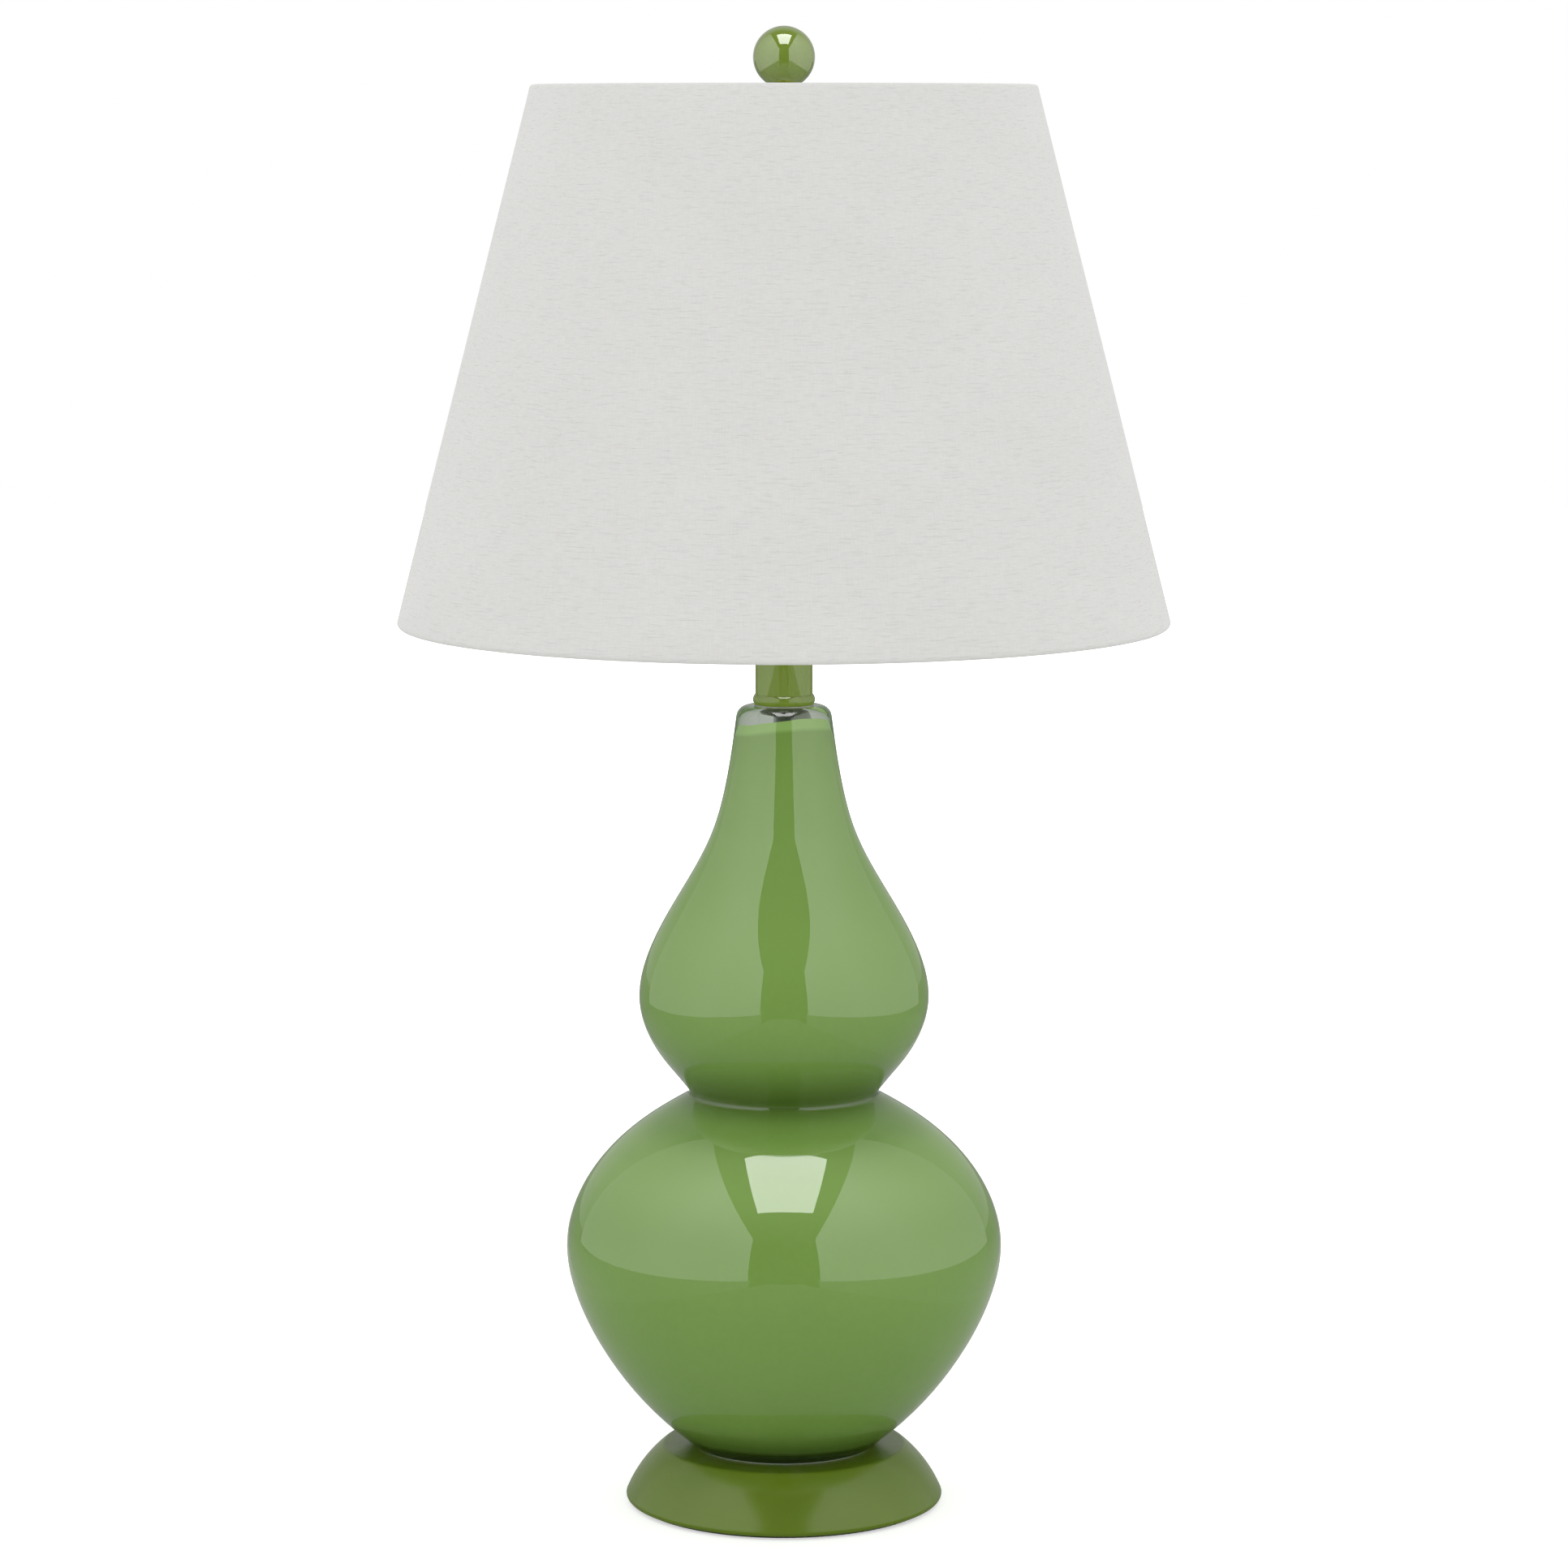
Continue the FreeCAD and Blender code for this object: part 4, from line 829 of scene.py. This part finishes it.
@dataclass
class GlassGourd:
    """Blown gourd, clear through its wall, and the coat of paint inside it."""

    lower_belly: tuple[Point, ...] = (
        (0.0418, 0.0269), (0.0570, 0.0400), (0.0847, 0.0750), (0.0960, 0.1000), (0.0993, 0.1220),
        (0.0927, 0.1450), (0.0779, 0.1650), (0.0622, 0.1780), (0.0421, 0.1902))
    upper_belly: tuple[Point, ...] = (
        (0.0421, 0.1902), (0.0492, 0.1990), (0.0564, 0.2080), (0.0658, 0.2320), (0.0602, 0.2580),
        (0.0425, 0.2900), (0.0325, 0.3100), (0.0268, 0.3300), (0.0210, 0.3675))
    waist_rounding: float = 0.0022
    shoulder_rounding: float = 0.0054
    foot_rounding: float = 0.0012
    wall: float = 0.0040
    neck_gather: float = 0.0052
    gather_starts: float = 0.3050
    floor: float = 0.0070
    floor_flare: float = 0.8
    floor_rounding: float = 0.0064
    mouth: float = 0.0106
    foot_hole: float = 0.0080
    coat: float = 0.0001
    coat_edge: float = 0.3612
    coat_edge_slope: float = 0.11
    coat_edge_lean: float = 0.18
    coat_front: float = -0.0118
    coat_edge_ramp: float = 0.03
    ripple: float = 0.0007
    ripple_scale: float = 90
    # Reach and depth of the painted shade in the waist and over the floor.
    pool_above: float = 0.0175
    pool_below: float = 0.0060
    pool_floor: float = 0.0110
    floor_pool: float = 0.8
    faces_round: int = 144

    def outside(self) -> Outline:
        """Draws the outer line from the foot to the mouth's shoulder."""
        foot, waist, mouth = self.lower_belly[0], self.upper_belly[0], self.upper_belly[-1]
        bellies = through(self.lower_belly)[:-1] + through(self.upper_belly)
        drawn = corners((self.foot_hole, foot[1])) + bellies + corners((self.mouth, mouth[1]))
        for corner, rounding in ((foot, self.foot_rounding), (waist, self.waist_rounding),
                                 (mouth, self.shoulder_rounding)):
            drawn = rounded(drawn, corner, rounding)
        return drawn

    def gathered(self, level: float) -> float:
        """Gives how much thicker the wall is at a level: the neck keeps the blower's gather."""
        up = max(0.0, min(1.0, (level - self.gather_starts) / (self.coat_edge - self.gather_starts)))
        return self.neck_gather * up * up * (3 - 2 * up)

    def lining(self, depth: float, bottom: float, top: float) -> Outline:
        """Draws the hollow's line from its floor's hole up to a level.

        Args:
            depth: how far the line lies inside the outer one.
            bottom: the level of the floor.
            top: where the line ends.

        Returns:
            The line, running upwards.
        """
        line = [p - Vector((self.gathered(p.y), 0)) for p in inset(self.outside(), depth)
                if bottom < p.y and p.x > self.mouth]
        last = next(i for i, p in enumerate(line) if p.y >= top)
        below, above = line[last - 1], line[last]
        side = line[:last] + [below.lerp(above, (top - below.y) / (above.y - below.y))]
        edge = (side[0].x - (side[0].y - bottom) * self.floor_flare, bottom)
        return rounded(corners((self.foot_hole, bottom), edge) + side, edge, self.floor_rounding)

    def glass(self) -> Piece:
        """Models the wall, open at the mouth and at the foot's hole."""
        outside = self.outside()
        bottom, top = outside[0].y + self.floor, outside[-1].y - self.wall
        lining = self.lining(self.wall, bottom, top)
        ceiling = corners((self.mouth, top), (lining[-1].x, top))
        return turned("glass_body", outside + ceiling + lining[::-1] + [outside[0]], self.faces_round)

    def edge_level(self, place: Vector) -> float:
        """Gives the level of the paint's free edge over a place: higher on the right, lower at the rear."""
        ripple = noise.noise(Vector((place.x, place.y, 0)) * self.ripple_scale) * self.ripple
        drop = self.coat_edge_lean * (place.y - self.coat_front)
        return self.coat_edge + self.coat_edge_slope * place.x - drop + ripple

    def paint(self) -> Piece:
        """Models the coat as a thin skin on the wall's inner face, with notes for its finish."""
        bottom = self.outside()[0].y + self.floor
        skins = [self.lining(self.wall + side * self.coat, bottom - side * self.coat, self.coat_edge)
                 for side in (-1, 1)]
        coat = turned("paint_inside_glass", skins[0] + skins[1][::-1] + [skins[0][0]], self.faces_round)
        wall = self.lining(self.wall, bottom, self.coat_edge + self.wall / 2)
        levels, radii, ramp = [p.y for p in wall], [p.x for p in wall], self.coat_edge_ramp

        def lift(place: Vector) -> Vector:
            """Slants the top edge along the wall and leaves the rest where it is."""
            share = max(0.0, (place.z - self.coat_edge + ramp) / ramp)
            rise = share * (self.edge_level(place) - self.coat_edge)
            widening = np.interp((place.z + rise, place.z), levels, radii)
            out = Vector((place.x, place.y, 0)).normalized() * float(widening[0] - widening[1])
            return out + Vector((0, 0, rise))

        moved(coat, lift)

        def free_side(place: Vector) -> float:
            """Tells the coat's side in the hollow, which gets painted light, from the side on the glass."""
            return float(math.hypot(place.x, place.y) < np.interp(place.z, levels, radii))

        # Notes for painted light and shade: the band under the edge, the depth of painted shade, and the
        # hollow side.
        for title, rule in (("below_edge", lambda place: self.edge_level(place) - place.z),
                            ("pooled", lambda place: self.pooled_at(place.z)), ("free_side", free_side)):
            noted = coat.data.attributes.new(title, "FLOAT", "POINT")
            noted.data.foreach_set("value", [rule(v.co) for v in coat.data.vertices])
        return coat

    def pooled_at(self, level: float) -> float:
        """Gives how much painted shade deepens the paint's colour at a level: most in the waist and over the
        floor.
        """
        from_waist = level - self.lower_belly[-1][1]
        from_floor = level - self.lower_belly[0][1] - self.floor
        reach = self.pool_above if from_waist > 0 else self.pool_below
        on_floor = self.floor_pool * math.exp(-(from_floor / self.pool_floor) ** 2)
        return max(math.exp(-(from_waist / reach) ** 2), on_floor)

    def make(self) -> None:
        """Makes the gourd, its paint and its gasket and bushing."""
        stands(self.glass(), GLASS, "lamp", "glass_gourd")
        stands(self.paint(), INNER_PAINT, "lamp")
        carry({"glass_gasket": RUBBER, "mouth_bushing": RUBBER}, "lamp")


@dataclass
class Neck:
    """Bead, tube and cap between the glass and the socket."""

    ring_level: float = 0.3680
    ring_height: float = 0.0045
    ring_radius: float = 0.0141
    ring_edge: float = 0.0132
    seat_depth: float = 0.0010
    pipe_hole: float = 0.0051
    tube_radius: float = 0.0130
    tube_wall: float = 0.0008
    tube_length: float = 0.0510
    edge_rounding: float = 0.0003
    faces_round: int = 128

    def ring(self) -> Piece:
        """Models the half-round bead that the tube stands in."""
        top = self.ring_level + self.ring_height
        seat, middle = top - self.seat_depth, self.ring_level + self.ring_height / 2
        bead = arc((self.ring_edge, self.ring_level), (self.ring_radius, middle), (self.ring_edge, top), 14)
        rest = corners((self.tube_radius, top), (self.tube_radius, seat), (self.pipe_hole, seat),
                       (self.pipe_hole, self.ring_level), bead[0][:])
        return turned("neck_bead", bead + rest, self.faces_round)

    def tube(self) -> Piece:
        """Models the tube, with its cut ends broken."""
        low = self.ring_level + self.ring_height - self.seat_depth
        high, bore = low + self.tube_length, self.tube_radius - self.tube_wall
        foot, head = (self.tube_radius, low), (self.tube_radius, high)
        outline = corners((bore, low), foot, head, (bore, high), (bore, low))
        for corner in (foot, head):
            outline = rounded(outline, corner, self.edge_rounding, 3)
        return turned("neck_column", outline, self.faces_round)

    def make(self) -> None:
        """Makes the neck."""
        stands(self.ring(), GREEN_PAINT, "lamp", "neck_ring")
        stands(self.tube(), GREEN_PAINT, "lamp", "neck_tube")
        carry({"neck_cap": GREEN_PAINT, "pipe_nut_upper": BRASS}, "lamp")


def threaded(piece: Piece, radius: float, pitch: float, depth: float, low: float, high: float) -> Piece:
    """Rolls a round thread into a turned wall.

    Args:
        piece: the turned piece, with points close together along its wall.
        radius: points near this radius are rolled.
        pitch: rise of one turn.
        depth: from crest to root.
        low: where the thread starts.
        high: where it ends.

    Returns:
        The threaded piece.
    """
    def roll(place: Vector) -> Vector:
        """Moves a wall point in or out along the helix."""
        out = Vector((place.x, place.y, 0))
        if abs(out.length - radius) > NEAR_WALL or not low < place.z < high:
            return Vector((0, 0, 0))
        fade = min(1.0, (place.z - low) / pitch, (high - place.z) / pitch)
        turn = (place.z / pitch - math.atan2(place.y, place.x) / FULL_TURN) * FULL_TURN
        return out.normalized() * (math.cos(turn) - 1) * depth / 2 * fade

    return moved(piece, roll)


def ladder(radius: float, low: float, high: float, rungs: int) -> Outline:
    """Draws a straight wall as many short steps, ready to be threaded."""
    return [Vector((radius, low + (high - low) * i / rungs)) for i in range(rungs + 1)]


@dataclass
class Socket:
    """Keyed lampholder, from the saddle up."""

    level: float = 0.4286
    shell_radius: float = 0.0139
    shell_bore: float = 0.01335
    shell_bottom: float = 0.0350
    shell_top: float = 0.0600
    rungs: int = 84
    faces_round: int = 72

    def screw_shell(self) -> Piece:
        """Models the thin brass shell that the bulb screws into."""
        low, high = self.level + self.shell_bottom, self.level + self.shell_top
        outline = ladder(self.shell_radius, low, high, self.rungs)
        outline += ladder(self.shell_bore, low, high, self.rungs)[::-1] + [outline[0]]
        return turned("screw_shell_threaded", outline, self.faces_round)

    def make(self) -> None:
        """Makes the socket and its switch."""
        stands(self.screw_shell(), BRASS, "lamp", "socket_screw_shell")
        carry({"socket_cap": NICKEL, "socket_shell": NICKEL, "socket_set_screw": BRASS, "socket_liner": FIBRE,
               "socket_body": PHENOLIC, "terminal_screws": BRASS, "socket_centre_contact": BRASS}, "lamp")
        carry({"switch_stem": BRASS, "switch_knob": PHENOLIC}, "switch")


@dataclass
class Bulb:
    """Screw-in bulb."""

    tip: float = 0.4661
    insulator_height: float = 0.0045
    cap_height: float = 0.0260
    cap_radius: float = 0.0131
    cap_foot: float = 0.0116
    cap_bevel: float = 0.0015
    pitch: float = 0.00363
    thread_depth: float = 0.0009
    thread_margins: Point = (0.002, 0.004)
    rungs: int = 72
    faces_round: int = 72

    def cap(self) -> Piece:
        """Models the screw cap with its rolled thread."""
        low, high = self.tip + self.insulator_height, self.tip + self.cap_height
        wall = ladder(self.cap_radius, low + self.cap_bevel, high, self.rungs)
        outline = corners((0, low), (self.cap_foot, low)) + wall + corners((0, high))
        cap = turned("bulb_cap_threaded", outline, self.faces_round)
        return threaded(cap, self.cap_radius, self.pitch, self.thread_depth, low + self.thread_margins[0],
                        high - self.thread_margins[1])

    def make(self) -> None:
        """Makes the bulb."""
        stands(self.cap(), ALUMINIUM, "bulb", "bulb_cap")
        carry({"bulb_glass": BULB_WHITE}, "bulb")
        carry({"bulb_contact": ALUMINIUM, "bulb_insulator": BULB_BLACK}, "bulb_tip")


@dataclass
class Harp:
    """Sprung harp with its saddle and locking sleeves."""

    def make(self) -> None:
        """Dresses the harp."""
        carry({"harp_saddle": NICKEL}, "lamp")
        carry({"harp_wire": NICKEL}, "harp")
        carry({"harp_sleeve_left": NICKEL}, "sleeve_left")
        carry({"harp_sleeve_right": NICKEL}, "sleeve_right")


@dataclass
class Shade:
    """Tapered cloth shade on a stiff liner, with the spider that hangs it."""

    bottom_radius: float = 0.1744
    top_radius: float = 0.1125
    bottom: float = 0.4046
    height: float = 0.2410
    cloth: float = 0.0006
    liner: float = 0.0005
    wire: float = 0.0015
    flap_leaves_wire: float = 0.0034
    flap_meets_liner: float = 0.0085
    flap: float = 0.0160
    arm_azimuths: tuple[float, ...] = (90, 210, 330)
    notch: float = 0.0019
    arm_slope: Point = (0.0170, 0.0096)
    seam_lap: float = 0.0100
    seam_rise: float = 0.0004
    seam_edge: float = 0.0015
    hem_pucker: float = 0.00016
    hem_reach: float = 0.012
    slack: float = 0.0002
    notch_run: float = 0.012
    rows: int = 28
    faces_round: int = 256

    def slant(self) -> float:
        """Gives the length of the cone's side."""
        return math.hypot(self.bottom_radius - self.top_radius, self.height)

    def point(self, up: float, inwards: float) -> Point:
        """Gives the place at a length up the slant and a depth inside the skin."""
        lean, rise = (self.top_radius - self.bottom_radius) / self.slant(), self.height / self.slant()
        return (self.bottom_radius + up * lean - inwards * rise, self.bottom + up * rise + inwards * lean)

    def hem(self, rim: float, way: int) -> Outline:
        """Draws one rolled rim, from the outer skin round the wire and along the flap to the inner skin.

        Args:
            rim: the rim's length up the slant.
            way: 1 where the shade lies above the rim, -1 where it lies below.

        Returns:
            The rim's outline.
        """
        def at(along: float, depth: float) -> Point:
            """Gives a place by its distance from the rim."""
            return self.point(rim + way * along, depth)

        radius = self.wire + self.cloth
        under, over = self.cloth + self.liner, 2 * self.cloth + self.liner
        drawn = arc(at(radius, 0), at(0, radius), at(radius, 2 * radius), 14)
        drawn += corners(at(self.flap_leaves_wire, 2 * radius), at(self.flap_meets_liner, over),
                         at(self.flap, over), at(self.flap, under), at(self.flap_meets_liner, under),
                         at(self.flap_leaves_wire, radius + self.wire))
        drawn += arc(at(radius, radius + self.wire), at(self.cloth, radius), at(radius, self.cloth), 12)
        return drawn

    def skin(self) -> Piece:
        """Models the cloth with both rims, the lapped seam at the rear and the notches for the arms."""
        rows, radius = self.rows, self.wire + self.cloth
        low, high = self.hem(0, 1), self.hem(self.slant(), -1)
        span = self.slant() - 2 * radius
        outer = [Vector(self.point(radius + span * i / rows, 0)) for i in range(1, rows)]
        inner = [Vector(self.point(radius + span * i / rows, self.cloth)) for i in range(1, rows)]
        skin = turned("shade_cloth", low + inner + high[::-1] + outer[::-1] + [low[0]], self.faces_round)
        moved(skin, self.handwork)
        level = self.point(self.slant() - radius, radius)
        for azimuth in self.arm_azimuths:
            out = Vector((math.cos(math.radians(azimuth)), math.sin(math.radians(azimuth)), 0))
            axis = (out * self.arm_slope[0] + Vector((0, 0, self.arm_slope[1]))).normalized()
            middle = out * level[0] + Vector((0, 0, level[1])) - axis * self.notch_run / 2
            drilled(skin, self.notch, middle, axis, self.notch_run)
        return skin

    def handwork(self, place: Vector) -> Vector:
        """Gives the unevenness that hands leave: a lap at the rear, puckers at the rims, slack between.

        Args:
            place: a point of the cloth.

        Returns:
            Its move.
        """
        out = Vector((place.x, place.y, 0))
        azimuth = math.atan2(place.y, place.x)
        from_rear = abs(azimuth - REAR) * out.length
        lap = self.seam_rise * max(0.0, min(1.0, (self.seam_lap / 2 - from_rear) / self.seam_edge + 0.5))
        to_rim = min(place.z - self.bottom, self.bottom + self.height - place.z)
        round_way = Vector((math.cos(azimuth), math.sin(azimuth), 0))
        pucker = noise.noise(round_way * 34 + Vector((0, 0, place.z * 30))) * self.hem_pucker
        pucker *= max(0.0, 1 - to_rim / self.hem_reach)
        slack = noise.noise(round_way * 3 + Vector((0, 0, place.z * 9))) * self.slack
        return out.normalized() * (lap + pucker + slack)

    def make(self) -> None:
        """Makes the shade."""
        skin = stands(self.skin(), COTTON, "shade", "shade_fabric")
        carry({"shade_liner": STYRENE, "shade_spider": WHITE_WIRE, "shade_bottom_ring": WHITE_WIRE,
               "harp_top_stud": NICKEL}, "shade")


@dataclass
class Finial:
    """Painted ball on a threaded brass insert."""

    centre: float = 0.6572
    radius: float = 0.0138
    collar_radius: float = 0.0070
    collar_bottom: float = 0.63605
    bore: float = 0.00455
    bore_top: float = 0.65005
    collar_rounding: float = 0.0005

    def ball(self) -> Piece:
        """Models the ball, its collar and its bore."""
        meets = self.centre - math.sqrt(self.radius ** 2 - self.collar_radius ** 2)
        collar = corners((0, self.bore_top), (self.bore, self.bore_top), (self.bore, self.collar_bottom),
                         (self.collar_radius, self.collar_bottom))
        top = (0, self.centre + self.radius)
        ball = arc((self.collar_radius, meets), (self.radius, self.centre), top, 48)
        outline = rounded(collar + ball, (self.collar_radius, self.collar_bottom), self.collar_rounding)
        return turned("finial_painted", outline, 96)

    def make(self) -> None:
        """Makes the finial."""
        stands(self.ball(), FINIAL_PAINT, "finial", "finial_ball")
        carry({"finial_insert": BRASS}, "finial_thread")


@dataclass
class Studio:
    """White sweep, two long side panels, a small window lamp above the front, and the camera."""

    camera_place: Place = (0.0, -2.2797, 0.62975)
    camera_tilt: float = math.radians(82.546)
    lens: float = 116.64
    panel_distance: float = 1.1
    panel_size: Point = (4.3, 3.05)
    panel_middle: Point = (-1.15, 1.025)
    panel_glow: Point = (1.65, 0.64)
    panel_fades: Point = (-0.7, 1.0)
    panel_rise: tuple[float, float, float, float] = (0.0, 2.2, 1.15, 1.3)
    window_place: Place = (0.03, -0.78, 2.55)
    window_size: Point = (1.30, 1.78)
    window_radiance: float = 7.5
    room_light: Point = (1.16, 0.94)
    dark: float = 0.1
    rear_wall: float = 0.5
    rear_wall_starts: Point = (0.3, 0.6)
    seen_through: float = 0.5
    front_gap: Point = (math.radians(17), math.radians(17) + 0.02)
    table_edge: Point = (0.26, 0.27)
    table_front: Point = (-1.7, -1.6)
    paper: float = 0.8
    table: float = 0.5
    sweep_whitens: tuple[float, float, float, float] = (0.15, 1.2, 0.5, 1.0)
    floor_size: float = 12.0
    floor_drop: float = 0.0002
    floor_share: float = 0.42

    def hung(self, data: bpy.types.ID, place: Place) -> Piece:
        """Hangs a camera or a lamp at its place."""
        made = bpy.data.objects.new(data.name, data)
        made.location = place
        bpy.context.scene.collection.objects.link(made)
        return made

    def camera(self) -> None:
        """Sets the camera where the photograph was taken from."""
        data = bpy.data.cameras.new("camera")
        data.lens = self.lens
        camera = self.hung(data, self.camera_place)
        camera.rotation_euler = (self.camera_tilt, 0, 0)
        bpy.context.scene.camera = camera

    def shown_in_gloss(self, piece: Piece) -> None:
        """Hides a studio piece from all but reflections."""
        for rays in ("camera", "diffuse", "transmission", "shadow"):
            setattr(piece, "visible_" + rays, False)

    def window_lamp(self) -> None:
        """Hangs the window lamp over the front."""
        size = self.window_size
        data = bpy.data.lights.new("window_lamp", "AREA")
        data.shape, data.size, data.size_y = "RECTANGLE", size[0], size[1]
        data.energy = self.window_radiance * math.pi * size[0] * size[1]
        self.shown_in_gloss(self.hung(data, self.window_place))

    def side_light(self, on: Wiring, along: object, share: object) -> Output:
        """Adds the panels' light: strong at the front end, weak at the rear."""
        return on.glow(on.times(on.band(along, *self.panel_fades, *self.panel_glow), share))

    def panels(self) -> None:
        """Stands the two side panels up."""
        made = bpy.data.materials.new("lit_side_panel")
        on = cleared(made)
        at = on.split(on.place())
        share = on.band(at["Z"], *self.panel_rise)
        on.put("OutputMaterial", {"Surface": self.side_light(on, at["Y"], share)})
        for name, side in (("left_panel", -1), ("right_panel", 1)):
            deselect()
            bpy.ops.mesh.primitive_plane_add(size=1, rotation=(math.pi / 2, 0, math.pi / 2),
                                             location=(side * self.panel_distance, *self.panel_middle))
            panel = bpy.context.object
            panel.scale = (*self.panel_size, 1)
            settle(panel, name)
            panel.data.materials.append(made)
            self.shown_in_gloss(panel)

    def world(self) -> None:
        """Sets a world that looks white and lights evenly, and is dark in reflections but at the rear."""
        world = bpy.data.worlds.new("white_studio")
        on = cleared(world)
        path = on.put("LightPath").outputs
        heading = on.split(on.put("TexCoord").outputs["Generated"])

        def sky(strength: object) -> Output:
            """Adds a white background of a strength."""
            return on.put("Background", {"Color": WHITE, "Strength": strength}).outputs[0]

        seen = sky(on.band(on.calc("ABSOLUTE", heading["Z"]), 0.0, 1.0, *self.room_light))
        wall = on.band(heading["Y"], *self.rear_wall_starts, self.dark, self.rear_wall)
        for ray, strength in (("Is Glossy Ray", wall), ("Is Transmission Ray", self.seen_through),
                              ("Is Camera Ray", 1.0)):
            seen = on.either(path[ray], seen, sky(strength))
        on.put("OutputWorld", {"Surface": seen})
        bpy.context.scene.world = world

    def sweep(self) -> bpy.types.Material:
        """Makes the floor's look: white but for the lamp's shadow, and a table top in reflections."""
        made = bpy.data.materials.new("pale_sweep")
        on = cleared(made)
        path = on.put("LightPath").outputs
        at = on.place()
        place = on.split(at)
        reach = on.put("VectorMath", {0: at}, operation="LENGTH").outputs["Value"]
        sideways = on.calc("ABSOLUTE", place["X"])
        aside = on.calc("ARCTAN2", sideways, on.times(place["Y"], -1.0))
        paper, table = (on.put("BsdfDiffuse", {"Color": (grey, grey, grey, 1)}).outputs[0]
                        for grey in (self.paper, self.table))
        white = on.glow(on.band(reach, *self.sweep_whitens))
        bright = on.put("AddShader", {0: paper, 1: white}).outputs[0]
        share = on.band(aside, *self.front_gap, self.dark / self.panel_glow[0], self.floor_share)
        beyond = on.calc("MAXIMUM", on.band(sideways, *self.table_edge),
                         on.band(place["Y"], *self.table_front, 1.0, 0.0))
        mirrored = on.either(beyond, table, self.side_light(on, place["Y"], share))
        seen = paper
        for ray, light in (("Is Glossy Ray", mirrored), ("Is Transmission Ray", on.glow(self.seen_through)),
                           ("Is Camera Ray", bright)):
            seen = on.either(path[ray], seen, light)
        underneath = on.calc("MAXIMUM", on.put("NewGeometry").outputs["Backfacing"],
                             on.calc("LESS_THAN", path["Ray Length"], 2 * self.floor_drop))
        seen = on.either(underneath, seen, on.put("BsdfTransparent").outputs[0])
        on.put("OutputMaterial", {"Surface": seen})
        return made

    def floor(self) -> None:
        """Lays the pale floor, which isn't there from below."""
        deselect()
        bpy.ops.mesh.primitive_plane_add(size=self.floor_size, location=(0, 0, -self.floor_drop))
        floor = bpy.context.object
        bpy.ops.object.mode_set(mode="EDIT")
        bpy.ops.mesh.subdivide(number_cuts=3)
        bpy.ops.object.mode_set(mode="OBJECT")
        settle(floor, "studio_floor")
        floor.data.materials.append(self.sweep())

    def flag(self) -> None:
        """Keeps the window lamp off the foot, and the shade's pieces out of the gloss."""
        kept_off = bpy.data.collections.new("no_window_lamp")
        kept_off.objects.link(bpy.data.objects["painted_foot"])
        kept_off.collection_objects[0].light_linking.link_state = "EXCLUDE"
        bpy.data.objects["window_lamp"].light_linking.receiver_collection = kept_off
        for name in ("shade_cloth", "shade_liner_finished", "shade_spider_finished",
                     "shade_bottom_ring_finished"):
            bpy.data.objects[name].visible_glossy = False

    def make(self) -> None:
        """Sets the studio up."""
        bpy.context.scene.view_settings.view_transform = "Standard"
        self.camera()
        self.window_lamp()
        self.panels()
        self.world()
        self.floor()


def main() -> None:
    """Builds the studio and each sub-assembly."""
    logging.basicConfig(level=logging.INFO, format="%(message)s")
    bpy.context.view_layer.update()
    studio = Studio()
    for assembly in (studio, Foot(), GlassGourd(), Neck(), Harp(), Socket(), Bulb(), Shade(), Finial()):
        assembly.make()
        log.info("%s made", type(assembly).__name__)
    studio.flag()
    bpy.context.view_layer.update()


if __name__ == "__main__":
    main()
